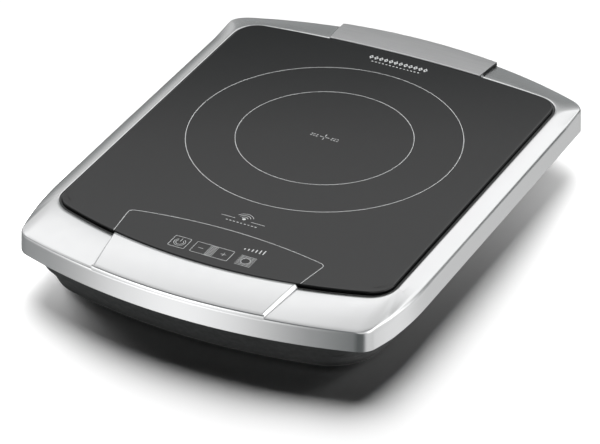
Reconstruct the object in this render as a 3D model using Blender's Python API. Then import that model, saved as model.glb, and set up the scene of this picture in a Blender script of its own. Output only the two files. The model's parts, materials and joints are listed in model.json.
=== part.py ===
"""Portable electric induction cooktop, one object for each separate piece.

Metres, +Z up, +X to the right, +Y to the rear. The origin is at the middle of the footprint, on the floor.
"""

import math

import bmesh
import bpy
from mathutils import Matrix, Vector

# ---- driving dimensions -------------------------------------------------------------------------
WIDTH = 0.3214  # over the frame's band, where it is widest
LENGTH = 0.427
GLASS_TOP = 0.057  # height of the cooking surface above the floor
ZONE_Y = 0.0337  # centre of the cooking zone
BAND_BOTTOM = 0.0314  # lower edge of the frame's band, along the sides and the rear
BASE_BOTTOM = 0.005  # underside of the plastic base
FIT = 0.0003  # gap left between touching pieces

GLASS_HALF_WIDTH = 0.1427
GLASS_FRONT_Y = -0.1689
GLASS_REAR_Y = 0.1793
GLASS_THICKNESS = 0.004
SEAT_GAP = 0.0026  # between the glass edge and the frame's lip, filled by the seal
LIP_TOP = GLASS_TOP - 0.0023  # the glass stands this much proud of the frame
LEDGE_TOP = GLASS_TOP - GLASS_THICKNESS - 0.0014
LEDGE_BOTTOM = LEDGE_TOP - 0.0026
LEDGE_WIDTH = 0.009

FRAME_SKIN = 0.0026
BAND_DRAFT = 0.0008  # the band leans in by this much at its top
EDGE_ROUND = 0.0009
SIDE_LEAN = 0.004  # the sides close in by this much per metre ahead of SIDE_REAR_Y
SIDE_REAR_Y = 0.200
TAPER_START_Y = -0.112  # ahead of this the frame's sides curve in towards the front
TAPER_RADIUS = 0.268
# how far the frame's outer top edge lies below the glass top, from front to rear
EDGE_DROP = (
    (-0.214, 0.0046),
    (-0.190, 0.0062),
    (-0.165, 0.0074),
    (0.145, 0.0072),
    (0.172, 0.0050),
    (0.214, 0.0045),
)
# how far the band's lower edge rises towards the front
FOOT_RISE = ((-0.214, 0.0033), (-0.205, 0.0030), (-0.190, 0.0024), (-0.178, 0.0012), (-0.160, 0.0))

FRONT_TRIM_HALF_WIDTH = (0.0769, 0.0709)  # at the glass, at the front
FRONT_TRIM_TOP = (GLASS_TOP + 0.0015, GLASS_TOP - 0.0025)
FRONT_TRIM_SETBACK = 0.0031
REAR_TRIM_HALF_WIDTH = (0.0680, 0.0703)
REAR_TRIM_TOP = (GLASS_TOP + 0.0003, GLASS_TOP - 0.0014)
REAR_TRIM_SETBACK = 0.0004
TRIM_RAMP = 0.0024  # plan length of a trim's sloping end

BASE_WALL = 0.0025
HOUSING_SCREW_SPOTS = [(x, y) for x in (-0.1325, 0.1325) for y in (-0.118, 0.122)]
FOOT_SPOTS = [(x, y) for x in (-0.112, 0.112) for y in (-0.160, 0.126)]
FOOT_RADIUS = 0.0086
GLAND_X = 0.062
GLAND_Z = 0.0235
GLAND_BORE_RADIUS = 0.0042
GLAND_BLOCK_Y = (0.1560, 0.1740)  # flat faces of the thick spot in the base's rear wall

COIL_INNER_RADIUS = 0.024
COIL_OUTER_RADIUS = 0.092
COIL_TURNS = 8
COIL_BOTTOM = 0.0472
COIL_TOP = 0.0514
CARRIER_RADIUS = 0.098
CARRIER_TOP = 0.0469
CARRIER_BOTTOM = 0.0449
COIL_POST_RADIUS = 0.103
COIL_POST_ANGLES = (90, 210, 330)
SHIELD_BOTTOM = 0.0380
SHIELD_TOP = 0.0395
FERRITE_COUNT = 6

BOARD_X = (-0.028, 0.122)
BOARD_Y = (-0.128, 0.022)
BOARD_BOTTOM = 0.0140
BOARD_TOP = 0.0156
BOARD_POSTS = [(x, y) for x in (-0.022, 0.116) for y in (-0.122, 0.016)]

FAN_X = -0.080
FAN_Y = -0.112
FAN_SIZE = 0.080
FAN_BOTTOM = 0.0090
FAN_TOP = 0.0290
FAN_BORE_RADIUS = 0.0380
ROTOR_RADIUS = 0.0365
HUB_RADIUS = 0.0170
BLADE_COUNT = 7

KEY_Y = -0.1518  # middle of the row of touch keys
KEYS = {"power": -0.0294, "minus": -0.0120, "plus": 0.0095, "zone": 0.0268}
CONTROL_BOARD_TOP = 0.0481
CONTROL_BOARD_BOTTOM = 0.0465
CONTROL_BOARD_HALF = (0.062, 0.014)


# ---- materials ----------------------------------------------------------------------------------
def material(name, colour, roughness, metallic=0.0):
    made = bpy.data.materials.new(name)
    made.use_nodes = True
    shader = made.node_tree.nodes["Principled BSDF"]
    shader.inputs["Base Color"].default_value = (*colour, 1.0)
    shader.inputs["Roughness"].default_value = roughness
    shader.inputs["Metallic"].default_value = metallic
    return made


def make_materials():
    return {
        "silver": material("satin_silver", (0.66, 0.67, 0.67), 0.32, 1.0),
        "brushed": material("brushed_silver", (0.55, 0.55, 0.56), 0.38, 1.0),
        "glass": material("ceramic_glass", (0.045, 0.047, 0.050), 0.12),
        "black": material("black_plastic", (0.035, 0.036, 0.036), 0.55),
        "rubber": material("black_rubber", (0.025, 0.025, 0.025), 0.85),
        "seal": material("grey_silicone", (0.10, 0.10, 0.10), 0.70),
        "steel": material("zinc_steel", (0.60, 0.60, 0.58), 0.35, 1.0),
        "copper": material("litz_copper", (0.62, 0.30, 0.14), 0.40, 1.0),
        "ferrite": material("ferrite", (0.09, 0.09, 0.10), 0.60),
        "mica": material("mica", (0.62, 0.58, 0.48), 0.60),
        "aluminium": material("aluminium", (0.75, 0.76, 0.77), 0.35, 1.0),
        "board": material("green_board", (0.04, 0.20, 0.09), 0.45),
        "part": material("component_plastic", (0.06, 0.06, 0.07), 0.40),
        "film": material("film_capacitor", (0.55, 0.10, 0.06), 0.40),
        "white": material("white_nylon", (0.75, 0.74, 0.70), 0.50),
        "wire": material("wire_sleeve", (0.50, 0.48, 0.42), 0.60),
    }


# ---- plan outlines ------------------------------------------------------------------------------
SLICE_X = [0.020 * i for i in range(6)]
SLICE_Y = [-0.130, -0.055, 0.025, 0.100]
CORNER_STEPS = 9
TURN_WEIGHT = 0.040  # metres of path that one radian of turn counts as, when a corner is divided


def circle_fall(x, radius):
    """How far a circle of this radius falls away at distance x from its top point."""
    return radius - math.sqrt(radius * radius - x * x)


class Outline:
    """A plan shape, symmetric in X, with curved front and rear edges, side edges and rounded corners."""

    def __init__(self, half_width, front, rear, corners, taper=0.0, rear_share=1.0):
        """Front and rear are (y, radius) of the edge; corners are (front, rear) sizes.

        The rear corners reach along the sides by rear_share of their size.
        """
        self.half_width = half_width
        self.front_y, self.front_radius = front
        self.rear_y, self.rear_radius = rear
        self.front_corner, self.rear_corner = corners
        self.taper = taper
        self.rear_share = rear_share

    def inset(self, distance):
        return Outline(
            self.half_width - distance,
            (self.front_y + distance, self.front_radius - distance),
            (self.rear_y - distance, self.rear_radius - distance),
            (max(self.front_corner - distance, 0.001), max(self.rear_corner - distance, 0.001)),
            self.taper,
            self.rear_share,
        )

    def front(self, x):
        return self.front_y + circle_fall(x, self.front_radius)

    def rear(self, x):
        return self.rear_y - circle_fall(x, self.rear_radius)

    def side(self, y):
        lean = SIDE_LEAN * (SIDE_REAR_Y - y)
        ahead = max(0.0, TAPER_START_Y - y)
        return self.half_width - lean - self.taper * circle_fall(ahead, TAPER_RADIUS)

    def corner_path(self, edge, size, direction):
        """Points from a front or rear edge's end slice, round the corner, to the side's first slice."""
        x = self.half_width
        for _ in range(20):
            x = self.side(edge(x))
        tip = Vector((x, edge(x)))
        start = Vector((x - size, edge(x - size)))
        end_y = tip.y + (size if direction > 0 else -size * self.rear_share)
        end = Vector((self.side(end_y), end_y))
        side_end_y = SLICE_Y[0] if direction > 0 else SLICE_Y[-1]
        path = []
        for i in range(12):
            here = SLICE_X[-1] + (start.x - SLICE_X[-1]) * i / 12
            path.append(Vector((here, edge(here))))
        for i in range(24):
            t = i / 24
            weights = ((1 - t) ** 2, 2 * t * (1 - t) * 0.75, t * t)
            point = start * weights[0] + tip * weights[1] + end * weights[2]
            path.append(point / sum(weights))
        for i in range(13):
            here = end_y + (side_end_y - end_y) * i / 12
            path.append(Vector((self.side(here), here)))
        return path

    def half(self):
        """Points of the right half, from the middle of the front round to the middle of the rear."""
        points = [Vector((x, self.front(x))) for x in SLICE_X]
        points += divide(self.corner_path(self.front, self.front_corner, 1), CORNER_STEPS)
        points += [Vector((self.side(y), y)) for y in SLICE_Y]
        points += reversed(divide(self.corner_path(self.rear, self.rear_corner, -1), CORNER_STEPS))
        points += [Vector((x, self.rear(x))) for x in reversed(SLICE_X)]
        return points

    def points(self):
        """The whole outline, anticlockwise seen from above, starting at the middle of the front."""
        right = self.half()
        left = [Vector((-p.x, p.y)) for p in reversed(right[1:-1])]
        return right + left


def divide(path, steps):
    """Inner points that divide a path evenly by its length and its turning together."""
    marks = [0.0]
    for i in range(1, len(path)):
        run = (path[i] - path[i - 1]).length
        turn = 0.0
        if i < len(path) - 1:
            turn = (path[i] - path[i - 1]).angle(path[i + 1] - path[i], 0.0)
        marks.append(marks[-1] + run + TURN_WEIGHT * turn)
    inner = []
    for step in range(1, steps):
        goal = marks[-1] * step / steps
        i = next(k for k in range(1, len(marks)) if marks[k] >= goal)
        t = (goal - marks[i - 1]) / (marks[i] - marks[i - 1])
        inner.append(path[i - 1].lerp(path[i], t))
    return inner


GLASS = Outline(GLASS_HALF_WIDTH, (GLASS_FRONT_Y, 0.3808), (GLASS_REAR_Y, 0.9436), (0.0125, 0.017))
BAND = Outline(WIDTH / 2, (-LENGTH / 2, 0.452), (LENGTH / 2, 0.408), (0.008, 0.013), 1.0, 0.6)
BASE_RIM = Outline(0.1560, (-0.2100, 0.448), (0.1725, 0.900), (0.020, 0.034), 1.0)
BASE_FLOOR = Outline(0.1425, (-0.1958, 0.460), (0.1574, 0.900), (0.027, 0.030), 1.0)


def look_up(table, y):
    """Value at y from a table of (y, value) rows, straight between the rows and level beyond them."""
    if y <= table[0][0]:
        return table[0][1]
    for (y0, value0), (y1, value1) in zip(table[:-1], table[1:]):
        if y <= y1:
            return value0 + (value1 - value0) * (y - y0) / (y1 - y0)
    return table[-1][1]


def edge_height(y):
    """Height of the frame's outer top edge at a point of its outline."""
    return GLASS_TOP - look_up(EDGE_DROP, y)


def foot_height(y):
    """Height of the band's lower edge at a point of its outline."""
    return BAND_BOTTOM + look_up(FOOT_RISE, y)


def crown(share):
    """Fall of the frame's top from lip to edge: gentle at the glass and steeper towards the outside."""
    return share**1.5


def frame_surface(share, edge):
    return LIP_TOP - (LIP_TOP - edge) * crown(share)


# ---- mesh helpers -------------------------------------------------------------------------------
def add_object(name, mesh_source, surface, smooth_angle=35):
    """Turn a bmesh into a named object with one material, faces outward."""
    bmesh.ops.recalc_face_normals(mesh_source, faces=mesh_source.faces)
    if mesh_source.calc_volume(signed=True) < 0:
        bmesh.ops.reverse_faces(mesh_source, faces=mesh_source.faces)
    mesh = bpy.data.meshes.new(name)
    mesh_source.to_mesh(mesh)
    mesh_source.free()
    mesh.shade_smooth()
    mesh.set_sharp_from_angle(angle=math.radians(smooth_angle))
    made = bpy.data.objects.new(name, mesh)
    bpy.context.scene.collection.objects.link(made)
    if surface is not None:
        mesh.materials.append(surface)
    return made


def join_loops(loops, closed_across, target=None):
    """Skin rows of points that all have the same count. Each row is a closed loop."""
    made = target or bmesh.new()
    rows = [[made.verts.new(p) for p in loop] for loop in loops]
    count = len(rows[0])
    pairs = list(zip(rows[:-1], rows[1:]))
    if closed_across:
        pairs.append((rows[-1], rows[0]))
    for low, high in pairs:
        for i in range(count):
            j = (i + 1) % count
            made.faces.new((low[i], low[j], high[j], high[i]))
    if not closed_across:
        made.faces.new(reversed(rows[0]))
        made.faces.new(rows[-1])
    return made


def level(outline, z):
    return [Vector((p.x, p.y, z)) for p in outline.points()]


def slab(top, bottom):
    """Close two grids of points, of equal size, into one plate."""
    made = bmesh.new()
    above = [[made.verts.new(p) for p in row] for row in top]
    below = [[made.verts.new(p) for p in row] for row in bottom]
    rows = len(top)
    columns = len(top[0])
    for i in range(rows - 1):
        for j in range(columns - 1):
            made.faces.new((above[i][j], above[i][j + 1], above[i + 1][j + 1], above[i + 1][j]))
            made.faces.new((below[i][j], below[i + 1][j], below[i + 1][j + 1], below[i][j + 1]))
    rim = [(0, j) for j in range(columns)]
    rim += [(i, columns - 1) for i in range(1, rows)]
    rim += [(rows - 1, j) for j in range(columns - 2, -1, -1)]
    rim += [(i, 0) for i in range(rows - 2, 0, -1)]
    for (i, j), (k, m) in zip(rim, rim[1:] + rim[:1]):
        made.faces.new((above[i][j], above[k][m], below[k][m], below[i][j]))
    return made


def box(low, high, target=None):
    made = target or bmesh.new()
    middle = (Vector(low) + Vector(high)) / 2
    size = Vector(high) - Vector(low)
    place = Matrix.Translation(middle) @ Matrix.Diagonal((*size, 1.0))
    bmesh.ops.create_cube(made, size=1.0, matrix=place)
    return made


def cylinder(centre, radius, low, high, steps=24, target=None):
    """An upright cylinder between two heights."""
    made = target or bmesh.new()
    bmesh.ops.create_cone(
        made,
        cap_ends=True,
        segments=steps,
        radius1=radius,
        radius2=radius,
        depth=high - low,
        matrix=Matrix.Translation((centre[0], centre[1], (low + high) / 2)),
    )
    return made


def turned(profile, centre=(0.0, 0.0), steps=28, closed=False):
    """Turn (radius, height) points about an upright axis; closed profiles make rings."""
    loops = []
    for radius, height in profile:
        loops.append(
            [
                Vector(
                    (
                        centre[0] + radius * math.cos(2 * math.pi * i / steps),
                        centre[1] + radius * math.sin(2 * math.pi * i / steps),
                        height,
                    )
                )
                for i in range(steps)
            ]
        )
    return join_loops(loops, closed)


def boolean(target, cutter, operation, overlapping=False):
    """Cut or join; overlapping says that the cutter's own bodies cross one another."""
    cutter.hide_render = True
    cutter.display_type = "WIRE"
    step = target.modifiers.new(operation.lower(), "BOOLEAN")
    step.operation = operation
    step.object = cutter
    step.solver = "EXACT"
    step.use_self = overlapping


def apply_modifiers(made):
    """Keep the evaluated shape as the object's mesh, and drop the modifiers and their cutters."""
    graph = bpy.context.evaluated_depsgraph_get()
    shape = bpy.data.meshes.new_from_object(made.evaluated_get(graph))
    cutters = [step.object for step in made.modifiers if step.type == "BOOLEAN"]
    made.modifiers.clear()
    old = made.data
    made.data = shape
    shape.name = made.name
    bpy.data.meshes.remove(old)
    for cutter in cutters:
        bpy.data.objects.remove(cutter)


def tube(name, points, radius, surface, sides=1):
    """A wire along a smooth path, as a curve object with filled ends."""
    curve = bpy.data.curves.new(name, "CURVE")
    curve.dimensions = "3D"
    curve.bevel_depth = radius
    curve.bevel_resolution = sides
    curve.use_fill_caps = True
    spline = curve.splines.new("POLY")
    spline.points.add(len(points) - 1)
    for slot, point in zip(spline.points, points):
        slot.co = (*point, 1.0)
    made = bpy.data.objects.new(name, curve)
    bpy.context.scene.collection.objects.link(made)
    curve.materials.append(surface)
    return made


def smooth_path(anchors, steps=6):
    """Points along a Catmull-Rom curve through the anchors."""
    ends = [Vector(a) for a in anchors]
    ends = [ends[0] * 2 - ends[1]] + ends + [ends[-1] * 2 - ends[-2]]
    path = []
    for a, b, c, d in zip(ends[:-3], ends[1:-2], ends[2:-1], ends[3:]):
        for i in range(steps):
            t = i / steps
            squared = (2 * a - 5 * b + 4 * c - d) * t * t
            cubed = (3 * b - a - 3 * c + d) * t**3
            path.append((2 * b + (c - a) * t + squared + cubed) / 2)
    path.append(ends[-2])
    return path


# ---- casing -------------------------------------------------------------------------------------
def make_glass(surface):
    bottom = GLASS_TOP - GLASS_THICKNESS
    loops = [
        level(GLASS.inset(0.0004), bottom),
        level(GLASS, bottom + 0.0004),
        level(GLASS, GLASS_TOP - 0.0006),
        level(GLASS.inset(0.0006), GLASS_TOP),
    ]
    add_object("glass_plate", join_loops(loops, False), surface)


def make_seal(surface):
    """Bead under the glass's rim, with an upstand in the gap round its edge."""
    lip = GLASS.inset(FIT - SEAT_GAP)
    edge = GLASS.inset(-FIT)
    inner = GLASS.inset(0.0075)
    low = LEDGE_TOP + FIT
    high = GLASS_TOP - GLASS_THICKNESS - FIT
    crest = LIP_TOP - 0.0008
    loops = [level(lip, low), level(lip, crest), level(edge, crest)]
    loops += [level(edge, high), level(inner, high), level(inner, low)]
    add_object("glass_seal", join_loops(loops, True), surface)


def frame_loops():
    """Rows of the frame's section, from the glass ledge over the top, down the band and back inside."""
    lip = GLASS.inset(-SEAT_GAP).points()
    ledge = GLASS.inset(LEDGE_WIDTH).points()
    edge_line = BAND.inset(BAND_DRAFT + EDGE_ROUND).points()
    shoulder = BAND.inset(BAND_DRAFT).points()
    foot = BAND.points()
    inner = BAND.inset(FRAME_SKIN).points()
    heights = [edge_height(p.y) for p in foot]
    feet = [foot_height(p.y) for p in foot]

    def row(points, z_of):
        return [Vector((p.x, p.y, z_of(i))) for i, p in enumerate(points)]

    def across(share, sink):
        points = [a.lerp(b, share) for a, b in zip(lip, edge_line)]
        return row(points, lambda i: frame_surface(share, heights[i]) - sink)

    under_edge = BAND.inset(FRAME_SKIN + BAND_DRAFT).points()
    return [
        row(ledge, lambda i: LEDGE_TOP),
        row(lip, lambda i: LEDGE_TOP),
        row(lip, lambda i: LIP_TOP),
        across(0.25, 0.0),
        across(0.50, 0.0),
        across(0.75, 0.0),
        across(1.00, 0.0),
        row(shoulder, lambda i: heights[i] - EDGE_ROUND),
        row(foot, lambda i: feet[i]),
        row(inner, lambda i: feet[i]),
        row(under_edge, lambda i: heights[i] - FRAME_SKIN - EDGE_ROUND),
        across(0.60, FRAME_SKIN),
        level(GLASS.inset(-SEAT_GAP - 0.0025), LEDGE_BOTTOM),
        row(ledge, lambda i: LEDGE_BOTTOM),
    ]


def make_frame(surface):
    frame = add_object("top_frame", join_loops(frame_loops(), True), surface)
    bosses = bmesh.new()
    holes = bmesh.new()
    for spot in HOUSING_SCREW_SPOTS:
        cylinder(spot, 0.0045, 0.0310, LEDGE_BOTTOM + 0.0012, 16, bosses)
        cylinder(spot, 0.0018, 0.0300, 0.0440, 10, holes)
    boolean(frame, add_object("frame_bosses", bosses, None), "UNION")
    boolean(frame, add_object("frame_holes", holes, None), "DIFFERENCE")
    apply_modifiers(frame)


def trim_grids(half_widths, lip_curve, edge_curve, tops, ramp):
    """Top and bottom grids of a raised trim that rests on the frame's top surface."""
    rows = 5
    columns = 12
    shares = [0.0, 0.02] + [i / columns for i in range(1, columns)] + [0.98, 1.0]
    steps = [0.0, 0.03] + [i / rows for i in range(1, rows)] + [0.985, 1.0]
    top = []
    bottom = []
    for share in shares:
        side = share * 2 - 1
        top_row = []
        bottom_row = []
        for step in steps:
            half = half_widths[0] + (half_widths[1] - half_widths[0]) * step
            foot_half = half + ramp
            plan_top = side * half
            plan_foot = plan_top if abs(side) < 0.97 else side * foot_half
            y = lip_curve(plan_foot) + (edge_curve(plan_foot) - lip_curve(plan_foot)) * step
            seat = seat_height(plan_foot, y) + FIT
            z = tops[0] + (tops[1] - tops[0]) * step
            if step in (0.0, 1.0):
                z -= 0.0006
            if share in (0.0, 1.0):
                z = seat + 0.0004
            x = plan_foot if share in (0.0, 1.0) else side * half
            top_row.append(Vector((x, y, z)))
            bottom_row.append(Vector((plan_foot if share in (0.0, 1.0) else x, y, seat)))
        top.append(top_row)
        bottom.append(bottom_row)
    return top, bottom


def seat_height(x, y):
    """Height of the frame's top surface, ahead of or behind the glass."""
    edge_line = BAND.inset(BAND_DRAFT + EDGE_ROUND)
    lip = GLASS.inset(-SEAT_GAP)
    if y < 0:
        share = (lip.front(x) - y) / (lip.front(x) - edge_line.front(x))
        edge = edge_height(BAND.front(x))
    else:
        share = (y - lip.rear(x)) / (edge_line.rear(x) - lip.rear(x))
        edge = edge_height(BAND.rear(x))
    share = max(0.0, min(1.0, share))
    return frame_surface(share, edge)


def make_trims(front_surface, rear_surface):
    shoulder = BAND.inset(BAND_DRAFT)
    top, bottom = trim_grids(
        FRONT_TRIM_HALF_WIDTH,
        lambda x: GLASS.front(x) - FRONT_TRIM_SETBACK,
        shoulder.front,
        FRONT_TRIM_TOP,
        TRIM_RAMP,
    )
    add_object("front_trim", slab(top, bottom), front_surface)
    top, bottom = trim_grids(
        REAR_TRIM_HALF_WIDTH,
        lambda x: GLASS.rear(x) + REAR_TRIM_SETBACK,
        shoulder.rear,
        REAR_TRIM_TOP,
        0.0003,
    )
    add_object("rear_trim", slab(top, bottom), rear_surface)


def base_row(share, thickness=0.0):
    """A loop of the base wall, from the floor outline (0) to the rim outline (1)."""
    low = BASE_FLOOR.inset(thickness).points()
    high = BASE_RIM.inset(thickness).points()
    return [a.lerp(b, share) for a, b in zip(low, high)]


def make_base(surface):
    def row(points, z_of):
        return [Vector((p.x, p.y, z_of(p))) for p in points]

    def rim(p):
        rear_share = min(1.0, max(0.0, (p.y - 0.125) / 0.030))
        return 0.0440 + 0.0044 * rear_share

    inner_floor = BASE_BOTTOM + BASE_WALL
    loops = [
        row(BASE_FLOOR.inset(0.003).points(), lambda p: BASE_BOTTOM),
        row(BASE_FLOOR.inset(0.0008).points(), lambda p: BASE_BOTTOM + 0.0010),
        row(base_row(0.0), lambda p: BASE_BOTTOM + 0.0035),
        row(base_row(0.62), lambda p: 0.0200),
        row(base_row(1.0), lambda p: 0.0320),
        row(base_row(1.0), rim),
        row(base_row(1.0, BASE_WALL), rim),
        row(base_row(1.0, BASE_WALL), lambda p: 0.0320),
        row(base_row(0.62, BASE_WALL), lambda p: 0.0200),
        row(base_row(0.0, BASE_WALL + 0.001), lambda p: inner_floor),
    ]
    base = add_object("base_housing", join_loops(loops, False), surface)
    posts = bmesh.new()
    cuts = bmesh.new()
    for spot in HOUSING_SCREW_SPOTS:
        cylinder(spot, 0.0045, inner_floor - 0.001, 0.0307, 16, posts)
        cylinder(spot, 0.0036, BASE_BOTTOM - 0.001, 0.0120, 16, cuts)
        cylinder(spot, 0.0018, 0.0110, 0.0320, 10, cuts)
    for x, y in BOARD_POSTS:
        cylinder((x, y), 0.0035, inner_floor - 0.001, BOARD_BOTTOM - FIT, 12, posts)
    for spot in coil_post_spots():
        cylinder(spot, 0.0042, inner_floor - 0.001, SHIELD_BOTTOM - FIT, 14, posts)
        cylinder(spot, 0.0013, SHIELD_BOTTOM - 0.0100, SHIELD_BOTTOM + 0.001, 8, cuts)
    for spot in FOOT_SPOTS:
        cylinder(spot, FOOT_RADIUS + FIT * 2, BASE_BOTTOM - 0.001, BASE_BOTTOM + 0.0010, 16, cuts)
    for i in range(9):
        y = FAN_Y + (i - 4) * 0.0072
        half = math.sqrt(0.034**2 - ((i - 4) * 0.0072) ** 2)
        box((FAN_X - half, y - 0.0018, 0.004), (FAN_X + half, y + 0.0018, 0.0085), cuts)
    for i in range(10):
        x = -0.090 + i * 0.0085
        box((x - 0.0017, 0.148, 0.0150), (x + 0.0017, 0.180, 0.0290), cuts)
    block_low = (GLAND_X - 0.011, GLAND_BLOCK_Y[0], GLAND_Z - 0.0105)
    block_high = (GLAND_X + 0.011, GLAND_BLOCK_Y[1], GLAND_Z + 0.0105)
    block = add_object("gland_block", box(block_low, block_high), None)
    bore = Matrix.Translation((GLAND_X, 0.166, GLAND_Z)) @ Matrix.Rotation(math.pi / 2, 4, "X")
    bmesh.ops.create_cone(
        cuts, cap_ends=True, segments=24, radius1=0.0073, radius2=0.0073, depth=0.040, matrix=bore
    )
    boolean(base, add_object("base_posts", posts, None), "UNION")
    boolean(base, block, "UNION")
    boolean(base, add_object("base_cuts", cuts, None), "DIFFERENCE", overlapping=True)
    apply_modifiers(base)


def make_feet(surface):
    profile = [(FOOT_RADIUS - 0.0008, 0.0), (FOOT_RADIUS, 0.0008), (FOOT_RADIUS, BASE_BOTTOM + 0.0007)]
    for number, spot in enumerate(FOOT_SPOTS, 1):
        add_object(f"foot_{number}", turned(profile, spot, 16), surface)


def make_screw(name, spot, head_radius, head, shank_radius, shank, surface, upward=True):
    """A pan-head screw: head and shank are (low, high) heights."""
    low, high = head
    if upward:
        profile = [(head_radius, low), (head_radius, high), (shank_radius, high), (shank_radius, shank)]
    else:
        profile = [(shank_radius, shank), (shank_radius, low), (head_radius, low), (head_radius, high)]
    add_object(name, turned(profile, spot, 8), surface)


def make_housing_screws(surface):
    for number, spot in enumerate(HOUSING_SCREW_SPOTS, 1):
        make_screw(f"housing_screw_{number}", spot, 0.0030, (0.0092, 0.0117), 0.0015, 0.0425, surface)


def make_gland(surface):
    """The mains cord's inlet: a flanged bush with a through bore, in the base's rear wall."""
    middle = sum(GLAND_BLOCK_Y) / 2
    waist = (GLAND_BLOCK_Y[1] - GLAND_BLOCK_Y[0]) / 2 + FIT
    end = waist + 0.0024
    section = [
        (GLAND_BORE_RADIUS, -end),
        (0.0090, -end),
        (0.0090, -waist),
        (0.0068, -waist),
        (0.0068, waist),
        (0.0090, waist),
        (0.0090, end),
        (GLAND_BORE_RADIUS, end),
    ]
    bush = turned(section, steps=20, closed=True)
    turn = Matrix.Translation((GLAND_X, middle, GLAND_Z)) @ Matrix.Rotation(-math.pi / 2, 4, "X")
    bush.transform(turn)
    add_object("cable_gland", bush, surface)


# ---- cooking unit -------------------------------------------------------------------------------
def coil_post_spots():
    spots = []
    for degrees in COIL_POST_ANGLES:
        angle = math.radians(degrees)
        spots.append((COIL_POST_RADIUS * math.cos(angle), ZONE_Y + COIL_POST_RADIUS * math.sin(angle)))
    return spots


def make_coil(surface):
    """A flat spiral of litz wire, square in section."""
    steps = COIL_TURNS * 20
    pitch = (COIL_OUTER_RADIUS - COIL_INNER_RADIUS) / COIL_TURNS
    wire = pitch - 0.0014
    made = bmesh.new()
    rows = []
    for i in range(steps + 1):
        angle = 2 * math.pi * COIL_TURNS * i / steps
        inner = COIL_INNER_RADIUS + (COIL_OUTER_RADIUS - COIL_INNER_RADIUS - wire) * i / steps
        outer = inner + wire
        corners = ((inner, COIL_BOTTOM), (outer, COIL_BOTTOM), (outer, COIL_TOP), (inner, COIL_TOP))
        rows.append([Vector((r * math.cos(angle), ZONE_Y + r * math.sin(angle), z)) for r, z in corners])
    join_loops(rows, False, made)
    add_object("induction_coil", made, surface)


def make_carrier(surface):
    """Disc that carries the coil, with three ears for its screws."""
    inner = 0.0135
    section = [(inner, CARRIER_BOTTOM), (CARRIER_RADIUS, CARRIER_BOTTOM)]
    section += [(CARRIER_RADIUS, CARRIER_TOP), (inner, CARRIER_TOP)]
    carrier = add_object("coil_carrier", turned(section, (0.0, ZONE_Y), 36, closed=True), surface)
    ears = bmesh.new()
    holes = bmesh.new()
    for spot in coil_post_spots():
        cylinder(spot, 0.0080, CARRIER_BOTTOM + 0.0002, CARRIER_TOP - 0.0002, 16, ears)
        cylinder(spot, 0.0017, CARRIER_BOTTOM - 0.001, CARRIER_TOP + 0.001, 10, holes)
    boolean(carrier, add_object("carrier_ears", ears, None), "UNION")
    boolean(carrier, add_object("carrier_holes", holes, None), "DIFFERENCE")
    apply_modifiers(carrier)


def make_ferrites(surface):
    for number in range(FERRITE_COUNT):
        bar = box((0.028, -0.0075, 0.0402), (0.090, 0.0075, CARRIER_BOTTOM - FIT))
        turn = Matrix.Rotation(2 * math.pi * (number + 0.5) / FERRITE_COUNT, 4, "Z")
        bar.transform(Matrix.Translation((0.0, ZONE_Y, 0.0)) @ turn)
        add_object(f"ferrite_bar_{number + 1}", bar, surface)


def make_shield(surface):
    """Aluminium sheet under the coil, with holes for the posts' screws."""
    disc = turned([(0.108, SHIELD_BOTTOM), (0.108, SHIELD_TOP)], (0.0, ZONE_Y), 32)
    shield = add_object("shield_plate", disc, surface)
    holes = bmesh.new()
    for spot in coil_post_spots():
        cylinder(spot, 0.0017, SHIELD_BOTTOM - 0.001, SHIELD_TOP + 0.001, 10, holes)
    for x in (-0.0180, 0.0975):
        cylinder((x, ZONE_Y), 0.0040, SHIELD_BOTTOM - 0.001, SHIELD_TOP + 0.001, 12, holes)
    boolean(shield, add_object("shield_holes", holes, None), "DIFFERENCE")
    apply_modifiers(shield)


def make_coil_mounts(spacer_surface, screw_surface):
    for number, spot in enumerate(coil_post_spots(), 1):
        section = [
            (0.0019, SHIELD_TOP + FIT),
            (0.0042, SHIELD_TOP + FIT),
            (0.0042, CARRIER_BOTTOM - FIT),
            (0.0019, CARRIER_BOTTOM - FIT),
        ]
        add_object(f"coil_spacer_{number}", turned(section, spot, 14, closed=True), spacer_surface)
        head = (CARRIER_TOP + FIT, CARRIER_TOP + 0.0023)
        name = f"coil_screw_{number}"
        make_screw(name, spot, 0.0030, head, 0.0010, 0.0310, screw_surface, upward=False)


def make_zone_centre(holder_surface, bead_surface, mica_surface):
    """Thermistor in its cup at the coil's centre, and the mica sheet that covers the coil."""
    centre = (0.0, ZONE_Y)
    cup = [
        (0.0132, 0.0425),
        (0.0132, 0.0514),
        (0.0052, 0.0514),
        (0.0052, 0.0470),
    ]
    add_object("thermistor_holder", turned(cup, centre, 20), holder_surface)
    bead = [(0.0030, 0.0474), (0.0048, 0.0480), (0.0048, 0.0520), (0.0030, 0.0526)]
    add_object("thermistor", turned(bead, centre, 16), bead_surface)
    sheet = [(0.0056, 0.0518), (0.0990, 0.0518), (0.0990, 0.0524), (0.0056, 0.0524)]
    add_object("mica_sheet", turned(sheet, centre, 32, closed=True), mica_surface)


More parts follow.
